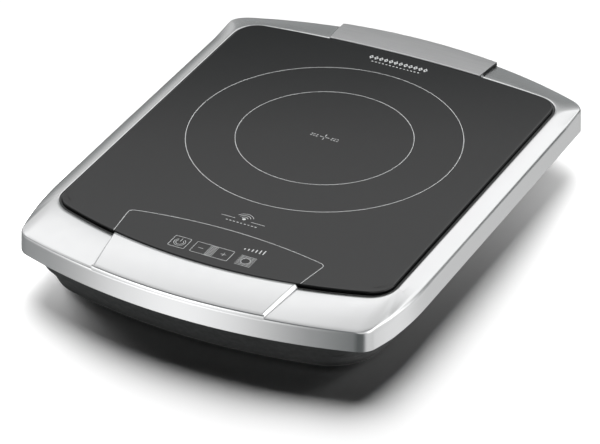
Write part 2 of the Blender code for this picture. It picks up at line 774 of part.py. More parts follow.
def make_coil_leads(surface):
    inner = smooth_path(
        [
            (-0.0180, ZONE_Y, 0.0437),
            (-0.0180, ZONE_Y, 0.0380),
            (-0.0165, ZONE_Y - 0.002, 0.0325),
            (0.0000, ZONE_Y - 0.006, 0.0290),
            (0.0300, ZONE_Y - 0.009, 0.0290),
            (0.0520, 0.0165, 0.0330),
            (0.0560, 0.0125, 0.0322),
        ]
    )
    tube("coil_lead_inner", inner, 0.0016, surface)
    outer = smooth_path(
        [
            (0.0975, ZONE_Y, 0.0440),
            (0.0975, ZONE_Y, 0.0380),
            (0.0960, ZONE_Y - 0.003, 0.0335),
            (0.0860, 0.0200, 0.0325),
            (0.0740, 0.0160, 0.0330),
            (0.0700, 0.0125, 0.0322),
        ]
    )
    tube("coil_lead_outer", outer, 0.0016, surface)


# ---- electronics --------------------------------------------------------------------------------
def make_power_board(surface):
    plate = box((BOARD_X[0], BOARD_Y[0], BOARD_BOTTOM), (BOARD_X[1], BOARD_Y[1], BOARD_TOP))
    board = add_object("power_board", plate, surface)
    holes = bmesh.new()
    for spot in coil_post_spots():
        inside = BOARD_X[0] < spot[0] < BOARD_X[1] and BOARD_Y[0] < spot[1] < BOARD_Y[1]
        if inside:
            cylinder(spot, 0.0050, BOARD_BOTTOM - 0.001, BOARD_TOP + 0.001, 14, holes)
    boolean(board, add_object("board_holes", holes, None), "DIFFERENCE")
    apply_modifiers(board)


def make_heat_sink(surface):
    """Extruded aluminium sink: a flat base with upright fins along X."""
    x = (-0.020, 0.045)
    y0 = -0.098
    base_top = 0.0200
    fin_top = 0.0360
    pitch = 0.0072
    fin = 0.0016
    count = 10
    profile = [(y0, BOARD_TOP + FIT), (y0 + pitch * (count - 1) + fin, BOARD_TOP + FIT)]
    for i in reversed(range(count)):
        right = y0 + pitch * i + fin
        left = y0 + pitch * i
        profile += [(right, fin_top), (left, fin_top)]
        if i:
            profile += [(left, base_top), (left - pitch + fin, base_top)]
    made = bmesh.new()
    near = [made.verts.new((x[0], y, z)) for y, z in profile]
    face = made.faces.new(near)
    moved = bmesh.ops.extrude_face_region(made, geom=[face])
    tips = [v for v in moved["geom"] if isinstance(v, bmesh.types.BMVert)]
    bmesh.ops.translate(made, vec=(x[1] - x[0], 0.0, 0.0), verts=tips)
    add_object("heat_sink", made, surface)


def make_board_parts(surfaces):
    """Components that stand on the power board, as (name, low corner, high corner, material)."""
    foot = BOARD_TOP + FIT
    blocks = [
        ("power_transistor", (0.0456, -0.0900, foot), (0.0506, -0.0740, foot + 0.0190), "part"),
        ("bridge_rectifier", (0.0456, -0.0620, foot), (0.0500, -0.0400, foot + 0.0175), "part"),
        ("resonance_capacitor", (0.0600, -0.0540, foot), (0.1020, -0.0310, foot + 0.0180), "film"),
        ("smoothing_capacitor", (0.0600, -0.0800, foot), (0.0930, -0.0590, foot + 0.0170), "film"),
        ("filter_capacitor", (0.0600, -0.1080, foot), (0.0860, -0.0900, foot + 0.0150), "film"),
        ("transformer", (0.0930, -0.1190, foot), (0.1130, -0.0980, foot + 0.0165), "part"),
        ("terminal_block", (0.0500, 0.0020, foot), (0.0760, 0.0120, foot + 0.0130), "white"),
    ]
    for name, low, high, surface in blocks:
        made = box(low, high)
        bmesh.ops.bevel(made, geom=list(made.edges), offset=0.0006, segments=1, affect="EDGES")
        add_object(name, made, surfaces[surface])
    core = [(0.0055, foot), (0.0120, foot), (0.0130, foot + 0.001)]
    core += [(0.0130, foot + 0.011), (0.0120, foot + 0.012), (0.0055, foot + 0.012)]
    choke = turned(core, (0.0200, -0.0100), 22, closed=True)
    add_object("filter_choke", choke, surfaces["copper"])
    fuse = bmesh.new()
    place = Matrix.Translation((0.0300, -0.1130, foot + 0.0030)) @ Matrix.Rotation(math.pi / 2, 4, "Y")
    bmesh.ops.create_cone(
        fuse, cap_ends=True, segments=14, radius1=0.0026, radius2=0.0026, depth=0.020, matrix=place
    )
    add_object("mains_fuse", fuse, surfaces["white"])


def make_control_unit(surfaces):
    half_x, half_y = CONTROL_BOARD_HALF
    y = KEY_Y + 0.002
    board = box((-half_x, y - half_y, CONTROL_BOARD_BOTTOM), (half_x, y + half_y, CONTROL_BOARD_TOP))
    add_object("control_board", board, surfaces["board"])
    tray_top = CONTROL_BOARD_BOTTOM - FIT
    tray_x = half_x + 0.004
    tray_y = half_y + 0.003
    tray = box((-tray_x, y - tray_y, tray_top - 0.0020), (tray_x, y + tray_y, tray_top))
    bracket = add_object("control_bracket", tray, surfaces["black"])
    window = box((-0.030, y - 0.008, tray_top - 0.004), (0.030, y + 0.008, tray_top + 0.002))
    boolean(bracket, add_object("bracket_window", window, None), "DIFFERENCE")
    apply_modifiers(bracket)
    display = box((-0.0048, KEY_Y - 0.0065, CONTROL_BOARD_TOP + FIT), (0.0020, KEY_Y + 0.0065, 0.0524))
    add_object("led_display", display, surfaces["white"])
    for name, x in KEYS.items():
        make_touch_spring(name, x, surfaces["steel"])


def make_touch_spring(name, x, surface):
    """A short wire spring that carries the touch signal up to the glass."""
    turns = 2
    steps = 8 * turns
    low = CONTROL_BOARD_TOP + FIT + 0.0004
    high = GLASS_TOP - GLASS_THICKNESS - FIT - 0.0004
    points = []
    for i in range(steps + 1):
        angle = 2 * math.pi * turns * i / steps
        z = low + (high - low) * i / steps
        points.append((x + 0.0030 * math.cos(angle), KEY_Y + 0.0030 * math.sin(angle), z))
    tube(f"touch_spring_{name}", points, 0.0004, surface, 0)


def make_ribbon(surface):
    """Flat cable from the control board's rear edge down to the power board."""
    half = 0.008
    thick = 0.0009
    x = 0.040
    route = [(-0.1352, 0.0473), (-0.1310, 0.0468), (-0.1265, 0.0440), (-0.1237, 0.0370)]
    route += [(-0.1220, 0.0270), (-0.1180, 0.0200), (-0.1150, 0.0166)]
    path = smooth_path(route, 4)
    top = []
    bottom = []
    for i, here in enumerate(path):
        before = path[max(0, i - 1)]
        after = path[min(len(path) - 1, i + 1)]
        along = (after - before).normalized()
        out = Vector((-along.y, along.x)) * thick / 2
        above = here + out
        below = here - out
        top.append([Vector((side, above.x, above.y)) for side in (x - half, x + half)])
        bottom.append([Vector((side, below.x, below.y)) for side in (x - half, x + half)])
    add_object("ribbon_cable", slab(top, bottom), surface)


# ---- cooling fan --------------------------------------------------------------------------------
def make_fan(surfaces):
    half = FAN_SIZE / 2
    centre = (FAN_X, FAN_Y)
    shell = box((FAN_X - half, FAN_Y - half, FAN_BOTTOM), (FAN_X + half, FAN_Y + half, FAN_TOP))
    housing = add_object("fan_housing", shell, surfaces["black"])
    bore = bmesh.new()
    cylinder(centre, FAN_BORE_RADIUS, FAN_BOTTOM - 0.001, FAN_TOP + 0.001, 32, bore)
    boolean(housing, add_object("fan_bore", bore, None), "DIFFERENCE")
    spokes = bmesh.new()
    spoke_top = FAN_BOTTOM + 0.0022
    cylinder(centre, 0.0160, FAN_BOTTOM + 0.0001, spoke_top + 0.0001, 24, spokes)
    for number in range(4):
        place = Matrix.Translation((FAN_X, FAN_Y, FAN_BOTTOM + 0.0011))
        place = place @ Matrix.Rotation(math.pi / 4 + number * math.pi / 2, 4, "Z")
        place = place @ Matrix.Translation((0.0265, 0.0, 0.0))
        place = place @ Matrix.Diagonal((0.0260, 0.0036, 0.0022, 1.0))
        bmesh.ops.create_cube(spokes, size=1.0, matrix=place)
    boolean(housing, add_object("fan_spokes", spokes, None), "UNION", overlapping=True)
    seat = bmesh.new()
    cylinder(centre, 0.0041, FAN_BOTTOM - 0.001, FAN_BOTTOM + 0.004, 16, seat)
    boolean(housing, add_object("fan_seat", seat, None), "DIFFERENCE")
    apply_modifiers(housing)
    low = FAN_BOTTOM + FIT
    bush = [(0.0018, low), (0.0038, low), (0.0038, 0.0215), (0.0018, 0.0215)]
    add_object("fan_bearing", turned(bush, centre, 16, closed=True), surfaces["steel"])
    low = spoke_top + 0.0004
    stator = [(0.0042, low), (0.0135, low), (0.0135, 0.0205), (0.0042, 0.0205)]
    add_object("fan_stator", turned(stator, centre, 20, closed=True), surfaces["copper"])
    make_rotor(centre, surfaces["part"])


def make_rotor(centre, surface):
    """Cup hub with its shaft, and curved blades joined to the cup's wall."""
    low = FAN_BOTTOM + 0.0040
    high = FAN_TOP - 0.0020
    cup = [
        (0.0015, FAN_BOTTOM + 0.0012),
        (0.0015, high - 0.0020),
        (0.0150, high - 0.0020),
        (0.0150, low),
        (HUB_RADIUS, low),
        (HUB_RADIUS, high - 0.0010),
        (HUB_RADIUS - 0.0010, high),
    ]
    pivot = bpy.data.objects.new("fan_axis", None)
    pivot.location = (*centre, 0.0)
    bpy.context.scene.collection.objects.link(pivot)
    rotor = add_object("fan_rotor", turned(cup, (0.0, 0.0), 28), surface)
    rotor.parent = pivot
    blades = bmesh.new()
    stations = (HUB_RADIUS - 0.0008, 0.0240, 0.0305, ROTOR_RADIUS)
    for number in range(BLADE_COUNT):
        base_angle = 2 * math.pi * number / BLADE_COUNT
        rows = []
        for i, radius in enumerate(stations):
            sweep = math.radians(9.0) * i
            spread = math.radians(21.0 - 1.5 * i)
            section = []
            lower = ((-spread, low + 0.0008), (spread, high - 0.0024))
            upper = ((spread, high - 0.0012), (-spread, low + 0.0020))
            for angle, z in lower + upper:
                turn = base_angle + sweep + angle
                section.append(Vector((radius * math.cos(turn), radius * math.sin(turn), z)))
            rows.append(section)
        join_loops(rows, False, blades)
    cutter = add_object("rotor_blades", blades, None)
    cutter.parent = pivot
    boolean(rotor, cutter, "UNION")
    apply_modifiers(rotor)


def make_duct(surface):
    """Sheet hood over the fan that turns its air towards the heat sink."""
    low = FAN_TOP + FIT
    high = 0.0440
    x0 = FAN_X - FAN_SIZE / 2
    x1 = FAN_X + FAN_SIZE / 2
    y0 = FAN_Y - FAN_SIZE / 2
    y1 = FAN_Y + FAN_SIZE / 2
    wall = 0.0015
    duct = add_object("air_duct", box((x0, y0, low), (x1, y1, high)), surface)
    hollow = box((x0 + wall, y0 + wall, low - 0.001), (x1 + 0.001, y1 - wall, high - wall))
    boolean(duct, add_object("duct_hollow", hollow, None), "DIFFERENCE")
    apply_modifiers(duct)


# ---- build --------------------------------------------------------------------------------------
def main():
    for item in list(bpy.data.objects):
        bpy.data.objects.remove(item)
    surfaces = make_materials()
    make_base(surfaces["black"])
    make_frame(surfaces["silver"])
    make_trims(surfaces["silver"], surfaces["brushed"])
    make_glass(surfaces["glass"])
    make_seal(surfaces["seal"])
    make_feet(surfaces["rubber"])
    make_housing_screws(surfaces["steel"])
    make_gland(surfaces["rubber"])
    make_coil(surfaces["copper"])
    make_carrier(surfaces["white"])
    make_ferrites(surfaces["ferrite"])
    make_shield(surfaces["aluminium"])
    make_coil_mounts(surfaces["white"], surfaces["steel"])
    make_zone_centre(surfaces["seal"], surfaces["part"], surfaces["mica"])
    make_coil_leads(surfaces["wire"])
    make_power_board(surfaces["board"])
    make_heat_sink(surfaces["aluminium"])
    make_board_parts(surfaces)
    make_control_unit(surfaces)
    make_ribbon(surfaces["wire"])
    make_fan(surfaces)
    make_duct(surfaces["white"])


main()
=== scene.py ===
"""Looks of a portable induction cooktop, built around its CAD frame. Metres, +Z up, +Y to the rear."""

import json
import math

import bmesh
import bpy
from mathutils import Matrix, Vector


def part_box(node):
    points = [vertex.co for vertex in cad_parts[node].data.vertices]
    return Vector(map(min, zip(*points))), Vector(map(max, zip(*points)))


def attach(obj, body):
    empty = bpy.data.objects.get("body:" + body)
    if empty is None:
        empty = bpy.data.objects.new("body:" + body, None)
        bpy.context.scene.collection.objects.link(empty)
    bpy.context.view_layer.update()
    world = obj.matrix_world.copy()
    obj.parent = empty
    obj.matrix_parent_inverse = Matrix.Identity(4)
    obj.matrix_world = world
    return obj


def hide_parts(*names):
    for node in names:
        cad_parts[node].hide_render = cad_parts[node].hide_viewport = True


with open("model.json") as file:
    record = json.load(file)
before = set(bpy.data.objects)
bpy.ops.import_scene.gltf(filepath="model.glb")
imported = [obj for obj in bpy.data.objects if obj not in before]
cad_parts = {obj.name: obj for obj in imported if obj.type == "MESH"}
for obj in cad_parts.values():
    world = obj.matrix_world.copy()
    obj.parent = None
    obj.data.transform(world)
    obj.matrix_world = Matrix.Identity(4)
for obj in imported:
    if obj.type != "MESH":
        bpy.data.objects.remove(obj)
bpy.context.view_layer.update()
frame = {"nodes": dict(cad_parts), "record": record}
BODY = "cooktop"

# ---- dimensions ---------------------------------------------------------------------------------
GLASS_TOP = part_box("glass_plate")[1].z
ZONE_Y = 0.0337
GLASS_THICKNESS = 0.004
GLASS_ROUND = 0.0010
SEAT_GAP = 0.0026
LIP_TOP = GLASS_TOP - 0.0023
LEDGE_TOP = GLASS_TOP - 0.0054
LEDGE_BOTTOM = LEDGE_TOP - 0.0026
LEDGE_WIDTH = 0.009
BAND_BOTTOM = 0.0314
BAND_DRAFT = 0.0008
FRAME_SKIN = 0.0026
BASE_BOTTOM = 0.005
BASE_WALL = 0.0025
BASE_TURN = BASE_BOTTOM + 0.0037  # where the rounded foot of the base's flank ends
BASE_FLANK = 0.0235  # height of the leaning flank above that
INNER_FLOOR = BASE_BOTTOM + BASE_WALL
SIDE_LEAN = 0.004
SIDE_REAR_Y = 0.200
TAPER_START_Y = -0.112
TAPER_RADIUS = 0.268
# (y, value) tables along the casing
EDGE_DROP = ((-0.214, 0.0046), (-0.190, 0.0062), (-0.165, 0.0074), (0.145, 0.0072), (0.172, 0.0050))
EDGE_DROP += ((0.214, 0.0045),)
FOOT_RISE = ((-0.214, 0.0033), (-0.205, 0.0030), (-0.190, 0.0024), (-0.178, 0.0012), (-0.160, 0.0))
# plan width of the rounding between the frame's top and its band: ahead and behind, then along the sides
ROUND_ENDS = 0.0019
ROUND_SIDES = ((-0.205, 0.0022), (-0.190, 0.0042), (-0.165, 0.0046), (-0.130, 0.0036), (-0.090, 0.0026))
ROUND_SIDES += ((-0.030, 0.0020), (0.214, 0.0020))
ROUND_LEFT = 0.0022  # widest on the left side
# the narrow chamfer under that rounding
CHAMFER_IN = 0.00019
CHAMFER_DROP = 0.0009
FRONT_PANEL_SETBACK = 0.0031
REAR_PANEL_SETBACK = 0.0004
SHADED_END_TILT = 0.7  # sideways part of the normal of the rear panel's ends, which take black plastic as painted shade
GLAND = Vector((0.062, 0.165, 0.0235))
FAN = Vector((-0.080, -0.112, 0.0))
SCREW_SPOTS = [(x, y) for x in (-0.1325, 0.1325) for y in (-0.118, 0.122)]
FOOT_SPOTS = [(x, y) for x in (-0.112, 0.112) for y in (-0.160, 0.126)]


# ---- plan outlines ------------------------------------------------------------------------------
SLICE_X = [0.004 * i for i in range(26)]
SLICE_Y = [-0.130 + 0.010 * i for i in range(24)]
CORNER_STEPS = 34
CORNER_WEIGHT = 0.75  # pull of a rounded corner towards its tip
TURN_WEIGHT = 0.030  # length that one radian of turning counts for, when points are spaced out


def circle_fall(x, radius):
    return radius - math.sqrt(radius * radius - x * x)


class Outline:
    """A plan shape with curved front and rear edges, side edges and rounded corners.

    The rear corners reach along the sides by rear_share of their size.
    """

    def __init__(self, half_width, front, rear, corners, taper=0.0, rear_share=1.0):
        self.half_width = half_width
        self.front_y, self.front_radius = front
        self.rear_y, self.rear_radius = rear
        self.front_corner, self.rear_corner = corners
        self.taper = taper
        self.rear_share = rear_share

    def inset(self, distance):
        return Outline(
            self.half_width - distance,
            (self.front_y + distance, self.front_radius - distance),
            (self.rear_y - distance, self.rear_radius - distance),
            (max(self.front_corner - distance, 0.001), max(self.rear_corner - distance, 0.001)),
            self.taper,
            self.rear_share,
        )

    def front(self, x):
        return self.front_y + circle_fall(x, self.front_radius)

    def rear(self, x):
        return self.rear_y - circle_fall(x, self.rear_radius)

    def side(self, y):
        lean = SIDE_LEAN * (SIDE_REAR_Y - y)
        ahead = max(0.0, TAPER_START_Y - y)
        return self.half_width - lean - self.taper * circle_fall(ahead, TAPER_RADIUS)

    def corner_path(self, edge, size, direction):
        x = self.half_width
        for _ in range(20):
            x = self.side(edge(x))
        tip = Vector((x, edge(x)))
        start = Vector((x - size, edge(x - size)))
        end_y = tip.y + (size if direction > 0 else -size * self.rear_share)
        end = Vector((self.side(end_y), end_y))
        side_end_y = SLICE_Y[0] if direction > 0 else SLICE_Y[-1]
        path = []
        for i in range(16):
            here = SLICE_X[-1] + (start.x - SLICE_X[-1]) * i / 16
            path.append(Vector((here, edge(here))))
        path += conic(start, tip, end, 48)[:-1]
        for i in range(17):
            here = end_y + (side_end_y - end_y) * i / 16
            path.append(Vector((self.side(here), here)))
        return path

    def points(self):
        """The outline anticlockwise seen from above, from the middle of the front."""
        right = [Vector((x, self.front(x))) for x in SLICE_X]
        right += divide(self.corner_path(self.front, self.front_corner, 1), CORNER_STEPS)
        right += [Vector((self.side(y), y)) for y in SLICE_Y]
        right += reversed(divide(self.corner_path(self.rear, self.rear_corner, -1), CORNER_STEPS))
        right += [Vector((x, self.rear(x))) for x in reversed(SLICE_X)]
        return right + [Vector((-p.x, p.y)) for p in reversed(right[1:-1])]


def divide(path, steps):
    """Inner points that divide a path evenly by its length and its turning together."""
    marks = [0.0]
    for i in range(1, len(path)):
        run = (path[i] - path[i - 1]).length
        turn = 0.0
        if i < len(path) - 1:
            turn = (path[i] - path[i - 1]).angle(path[i + 1] - path[i], 0.0)
        marks.append(marks[-1] + run + TURN_WEIGHT * turn)
    inner = []
    for step in range(1, steps):
        goal = marks[-1] * step / steps
        i = next(k for k in range(1, len(marks)) if marks[k] >= goal)
        t = (goal - marks[i - 1]) / (marks[i] - marks[i - 1])
        inner.append(path[i - 1].lerp(path[i], t))
    return inner


def look_up(table, y):
    """Value at y, on straight lines between the rows of a (y, value) table."""
    if y <= table[0][0]:
        return table[0][1]
    for (y0, value0), (y1, value1) in zip(table[:-1], table[1:]):
        if y <= y1:
            return value0 + (value1 - value0) * (y - y0) / (y1 - y0)
    return table[-1][1]


GLASS = Outline(0.1427, (-0.1689, 0.3808), (0.1793, 0.9436), (0.0125, 0.017))
BAND = Outline(0.1607, (-0.2135, 0.452), (0.2135, 0.408), (0.008, 0.013), 1.0, 0.6)
BASE_RIM = Outline(0.1560, (-0.2100, 0.448), (0.1725, 0.900), (0.020, 0.034), 1.0)
BASE_FLOOR = Outline(0.1425, (-0.1958, 0.460), (0.1574, 0.900), (0.027, 0.030), 1.0)


def edge_height(y):
    return GLASS_TOP - look_up(EDGE_DROP, y)


def foot_height(y):
    return BAND_BOTTOM + look_up(FOOT_RISE, y)


def crown(share):
    return share**1.5


# ---- mesh helpers -------------------------------------------------------------------------------
def add_object(name, data):
    made = bpy.data.objects.new(name, data)
    bpy.context.scene.collection.objects.link(made)
    return made


def new_object(name, vertices, faces, finish, smooth_angle):
    mesh = bpy.data.meshes.new(name)
    mesh.from_pydata([tuple(v) for v in vertices], [], faces)
    return finish_object(name, mesh, finish, smooth_angle)


def finish_object(name, mesh, finish, smooth_angle):
    work = bmesh.new()
    work.from_mesh(mesh)
    bmesh.ops.recalc_face_normals(work, faces=work.faces)
    if work.calc_volume(signed=True) < 0:
        bmesh.ops.reverse_faces(work, faces=work.faces)
    work.to_mesh(mesh)
    work.free()
    mesh.shade_smooth()
    mesh.set_sharp_from_angle(angle=math.radians(smooth_angle))
    if finish:
        mesh.materials.append(MATERIALS[finish])
    return add_object(name, mesh)


def from_bmesh(name, work, finish, smooth_angle=32):
    mesh = bpy.data.meshes.new(name)
    work.to_mesh(mesh)
    work.free()
    return finish_object(name, mesh, finish, smooth_angle)


def skin(loops, ring):
    """Vertices and faces over rows of points that are each a closed loop; ring joins last to first."""
    count = len(loops[0])
    vertices = [p for loop in loops for p in loop]
    faces = []
    rows = len(loops)
    for r in range(rows if ring else rows - 1):
        low = r * count
        high = ((r + 1) % rows) * count
        for i in range(count):
            j = (i + 1) % count
            faces.append((low + i, low + j, high + j, high + i))
    if not ring:
        faces.append(tuple(range(count - 1, -1, -1)))
        faces.append(tuple(range((rows - 1) * count, rows * count)))
    return vertices, faces


def level(outline, z):
    return [Vector((p.x, p.y, z)) for p in outline.points()]


def arc(centre, radius, start, end, steps):
    """Points on an arc between two angles in degrees, ends included."""
    points = []
    for i in range(steps + 1):
        angle = math.radians(start + (end - start) * i / steps)
        points.append((centre[0] + radius * math.cos(angle), centre[1] + radius * math.sin(angle)))
    return points


def circle(centre, radius, steps):
    return arc(centre, radius, 0.0, 360.0, steps)[:-1]


def turned(profile, centre=(0.0, 0.0), steps=64, closed=False):
    """Loops of (radius, height) points turned about an upright axis."""
    loops = [[Vector((*p, height)) for p in circle(centre, radius, steps)] for radius, height in profile]
    return skin(loops, closed)


def conic(a, tip, b, steps):
    """Points on a rounded corner from a to b, ends included."""
    points = []
    for i in range(steps + 1):
        t = i / steps
        w = ((1 - t) ** 2, 2 * t * (1 - t) * CORNER_WEIGHT, t * t)
        points.append((a * w[0] + tip * w[1] + b * w[2]) / sum(w))
    return points


def cut_box(low, high, work):
    middle = (Vector(low) + Vector(high)) / 2
    size = Vector(high) - Vector(low)
    bmesh.ops.create_cube(work, size=1.0, matrix=Matrix.Translation(middle) @ Matrix.Diagonal((*size, 1.0)))


def cut_round(where, radius, depth, work, steps):
    """A cylinder along the Z axis of a matrix, with its middle at the matrix's place."""
    bmesh.ops.create_cone(
        work, cap_ends=True, segments=steps, radius1=radius, radius2=radius, depth=depth, matrix=where
    )


def cut_cylinder(centre, radius, low, high, work, steps=32):
    middle = Matrix.Translation((centre[0], centre[1], (low + high) / 2))
    cut_round(middle, radius, high - low, work, steps)


def carve(target, work, operation="DIFFERENCE"):
    """Apply one boolean with the bodies in a bmesh."""
    cutter = from_bmesh("cutter", work, None)
    step = target.modifiers.new("carve", "BOOLEAN")
    step.operation = operation
    step.object = cutter
    step.solver = "EXACT"
    step.use_self = True
    graph = bpy.context.evaluated_depsgraph_get()
    shape = bpy.data.meshes.new_from_object(target.evaluated_get(graph))
    target.modifiers.clear()
    old = target.data
    target.data = shape
    bpy.data.meshes.remove(old)
    bpy.data.objects.remove(cutter)


def place(made, *nodes, slot=None):
    """Put a piece on the casing's body, in place of the CAD nodes it stands for."""
    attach(made, BODY)
    if nodes:
        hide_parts(*nodes)
    return made


# ---- materials ----------------------------------------------------------------------------------
class Nodes:
    """Short forms for building a node tree."""

    def __init__(self, tree):
        self.nodes = tree.nodes
        self.links = tree.links

    def feed(self, socket, value):
        if isinstance(value, (int, float)):
            socket.default_value = value
        else:
            self.links.new(value, socket)

    def maths(self, operation, *values):
        made = self.nodes.new("ShaderNodeMath")
        made.operation = operation
        for socket, value in zip(made.inputs, values):
            self.feed(socket, value)
        return made.outputs["Value"]

    def spread(self, value, low, high, out_low=0.0, out_high=1.0):
        """Map the range from low to high onto another, and hold the value there."""
        made = self.nodes.new("ShaderNodeMapRange")
        for key, number in zip(("From Min", "From Max", "To Min", "To Max"), (low, high, out_low, out_high)):
            made.inputs[key].default_value = number
        self.links.new(value, made.inputs["Value"])
        return made.outputs["Result"]

    def mix(self, factor, a, b):
        """Blend of two numbers."""
        made = self.nodes.new("ShaderNodeMix")
        made.data_type = "FLOAT"
        for socket, value in zip(made.inputs[:1] + made.inputs[2:4], (factor, a, b)):
            self.feed(socket, value)
        return made.outputs["Result"]

    def ramp(self, value, stops, joined="LINEAR"):
        """Colour looked up in (position, colour) stops."""
        made = self.nodes.new("ShaderNodeValToRGB")
        made.color_ramp.interpolation = joined
        elements = made.color_ramp.elements
        while len(elements) < len(stops):
            elements.new(0.5)
        for element, (position, colour) in zip(elements, stops):
            element.position = position
            element.color = (*colour, 1.0)
        self.links.new(value, made.inputs["Fac"])
        return made.outputs["Color"]

    def table(self, value, rows, scale):
        """Number looked up in (position, number) rows, smoothly joined; no number is above scale."""
        low = rows[0][0]
        high = rows[-1][0]
        stops = [((position - low) / (high - low), [number / scale] * 3) for position, number in rows]
        return self.maths("MULTIPLY", self.ramp(self.spread(value, low, high), stops, "EASE"), scale)


class Surface(Nodes):
    """A Principled material with procedural patterns on object coordinates."""

    def __init__(self, name, colour, roughness, metallic=0.0, **values):
        self.material = bpy.data.materials.new(name)
        self.material.use_nodes = True
        super().__init__(self.material.node_tree)
        self.shader = self.nodes["Principled BSDF"]
        values = {"Base_Color": (*colour, 1.0), "Roughness": roughness, "Metallic": metallic, **values}
        for key, value in values.items():
            self.shader.inputs[key.replace("_", " ")].default_value = value
        self.place = self.nodes.new("ShaderNodeTexCoord").outputs["Object"]

    def texture(self, kind, stretch=None, **values):
        """A texture node on object coordinates, which stretch scales for each axis."""
        place = self.place
        if stretch:
            mapping = self.nodes.new("ShaderNodeMapping")
            mapping.inputs["Scale"].default_value = stretch
            self.links.new(place, mapping.inputs["Vector"])
            place = mapping.outputs["Vector"]
        made = self.nodes.new("ShaderNodeTex" + kind)
        for key, value in values.items():
            made.inputs[key].default_value = value
        self.links.new(place, made.inputs["Vector"])
        return made

    def noise(self, scale, detail=2.0, roughness=0.5, stretch=None):
        return self.texture("Noise", stretch, Scale=scale, Detail=detail, Roughness=roughness).outputs["Fac"]

    def cells(self, scale, feature="F1", stretch=None):
        made = self.texture("Voronoi", stretch, Scale=scale)
        made.feature = feature
        return made.outputs["Distance"]

    def diagonal_bands(self, scale, distortion):
        made = self.texture("Wave", Scale=scale, Distortion=distortion)
        made.bands_direction = "DIAGONAL"
        return made.outputs["Fac"]

    def vary_roughness(self, pattern, low, high, source=(0.3, 0.7)):
        """Roughness from low to high, where the pattern goes through the source range."""
        self.links.new(self.spread(pattern, *source, low, high), self.shader.inputs["Roughness"])

    def vary_colour(self, pattern, first, last, source=(0.3, 0.7)):
        """Colour from first to last, where the pattern goes through the source range."""
        colour = self.ramp(pattern, list(zip(source, (first, last))))
        self.links.new(colour, self.shader.inputs["Base Color"])

    def bump(self, pattern, strength, distance):
        made = self.nodes.new("ShaderNodeBump")
        made.inputs["Strength"].default_value = strength
        made.inputs["Distance"].default_value = distance
        self.links.new(pattern, made.inputs["Height"])
        self.links.new(made.outputs["Normal"], self.shader.inputs["Normal"])


def satin_silver():
    made = Surface("satin_silver", (0.80, 0.805, 0.81), 0.23, 1.0)
    made.vary_roughness(made.noise(90.0, 3.0), 0.222, 0.238)
    grain = made.noise(1.0, 2.0, 0.6, (140.0, 1500.0, 1500.0))
    made.bump(grain, 0.06, 0.00003)
    return made


def brushed_silver():
    made = Surface("brushed_silver", (0.66, 0.66, 0.665), 0.38, 1.0)
    grain = made.noise(1.0, 3.0, 0.65, (24.0, 2600.0, 2600.0))
    made.vary_roughness(grain, 0.34, 0.44)
    made.vary_colour(grain, (0.60, 0.60, 0.605), (0.72, 0.72, 0.725))
    made.bump(grain, 0.15, 0.00004)
    return made


def ceramic_glass():
    made = Surface("ceramic_glass", (0.012, 0.0124, 0.0128), 0.05, IOR=1.52)
    made.vary_roughness(made.noise(18.0, 4.0, 0.6), 0.04, 0.06)
    grain = made.noise(900.0, 1.0)
    made.vary_colour(grain, (0.0095, 0.0098, 0.0101), (0.0130, 0.0134, 0.0138), (0.35, 0.65))
    return made


def printed_grey():
    made = Surface("printed_grey", (0.50, 0.51, 0.51), 0.42)
    made.vary_colour(made.noise(700.0, 2.0), (0.46, 0.47, 0.47), (0.55, 0.56, 0.56))
    made.bump(made.noise(3000.0), 0.15, 0.00002)
    return made


def black_plastic():
    made = Surface("black_plastic", (0.019, 0.020, 0.020), 0.46, Specular_IOR_Level=0.22)
    made.vary_roughness(made.noise(220.0, 3.0), 0.42, 0.54)
    made.vary_colour(made.noise(90.0, 3.0), (0.016, 0.017, 0.017), (0.022, 0.023, 0.023))
    made.bump(made.cells(1100.0), 0.35, 0.00006)
    return made


def black_rubber():
    made = Surface("black_rubber", (0.020, 0.020, 0.021), 0.78)
    made.vary_roughness(made.noise(400.0, 3.0), 0.70, 0.88)
    made.vary_colour(made.noise(160.0, 3.0), (0.017, 0.017, 0.018), (0.028, 0.028, 0.028))
    made.bump(made.noise(1500.0, 3.0), 0.3, 0.00008)
    return made


def grey_silicone():
    made = Surface("grey_silicone", (0.030, 0.031, 0.031), 0.62)
    made.vary_roughness(made.noise(300.0, 2.0), 0.48, 0.62)
    made.vary_colour(made.noise(120.0, 2.0), (0.026, 0.027, 0.027), (0.036, 0.037, 0.037))
    made.bump(made.noise(900.0, 2.0), 0.2, 0.00006)
    return made


def zinc_steel():
    made = Surface("zinc_steel", (0.62, 0.62, 0.60), 0.34, 1.0)
    made.vary_roughness(made.noise(500.0, 4.0), 0.26, 0.46)
    made.vary_colour(made.noise(240.0, 4.0), (0.55, 0.55, 0.52), (0.70, 0.70, 0.69))
    made.bump(made.noise(2200.0, 3.0), 0.15, 0.00004)
    return made


def litz_copper():
    made = Surface("litz_copper", (0.62, 0.30, 0.14), 0.38, 0.85)
    strands = made.diagonal_bands(420.0, 3.0)
    made.vary_colour(strands, (0.42, 0.17, 0.07), (0.74, 0.39, 0.20), (0.2, 0.8))
    made.vary_roughness(made.noise(300.0), 0.30, 0.48)
    made.bump(strands, 0.6, 0.00025)
    return made


def ferrite():
    made = Surface("ferrite", (0.09, 0.09, 0.10), 0.60)
    made.vary_colour(made.noise(500.0, 4.0), (0.06, 0.06, 0.065), (0.13, 0.13, 0.14))
    made.vary_roughness(made.noise(260.0, 3.0), 0.50, 0.72)
    made.bump(made.noise(1200.0, 4.0), 0.4, 0.0001)
    return made


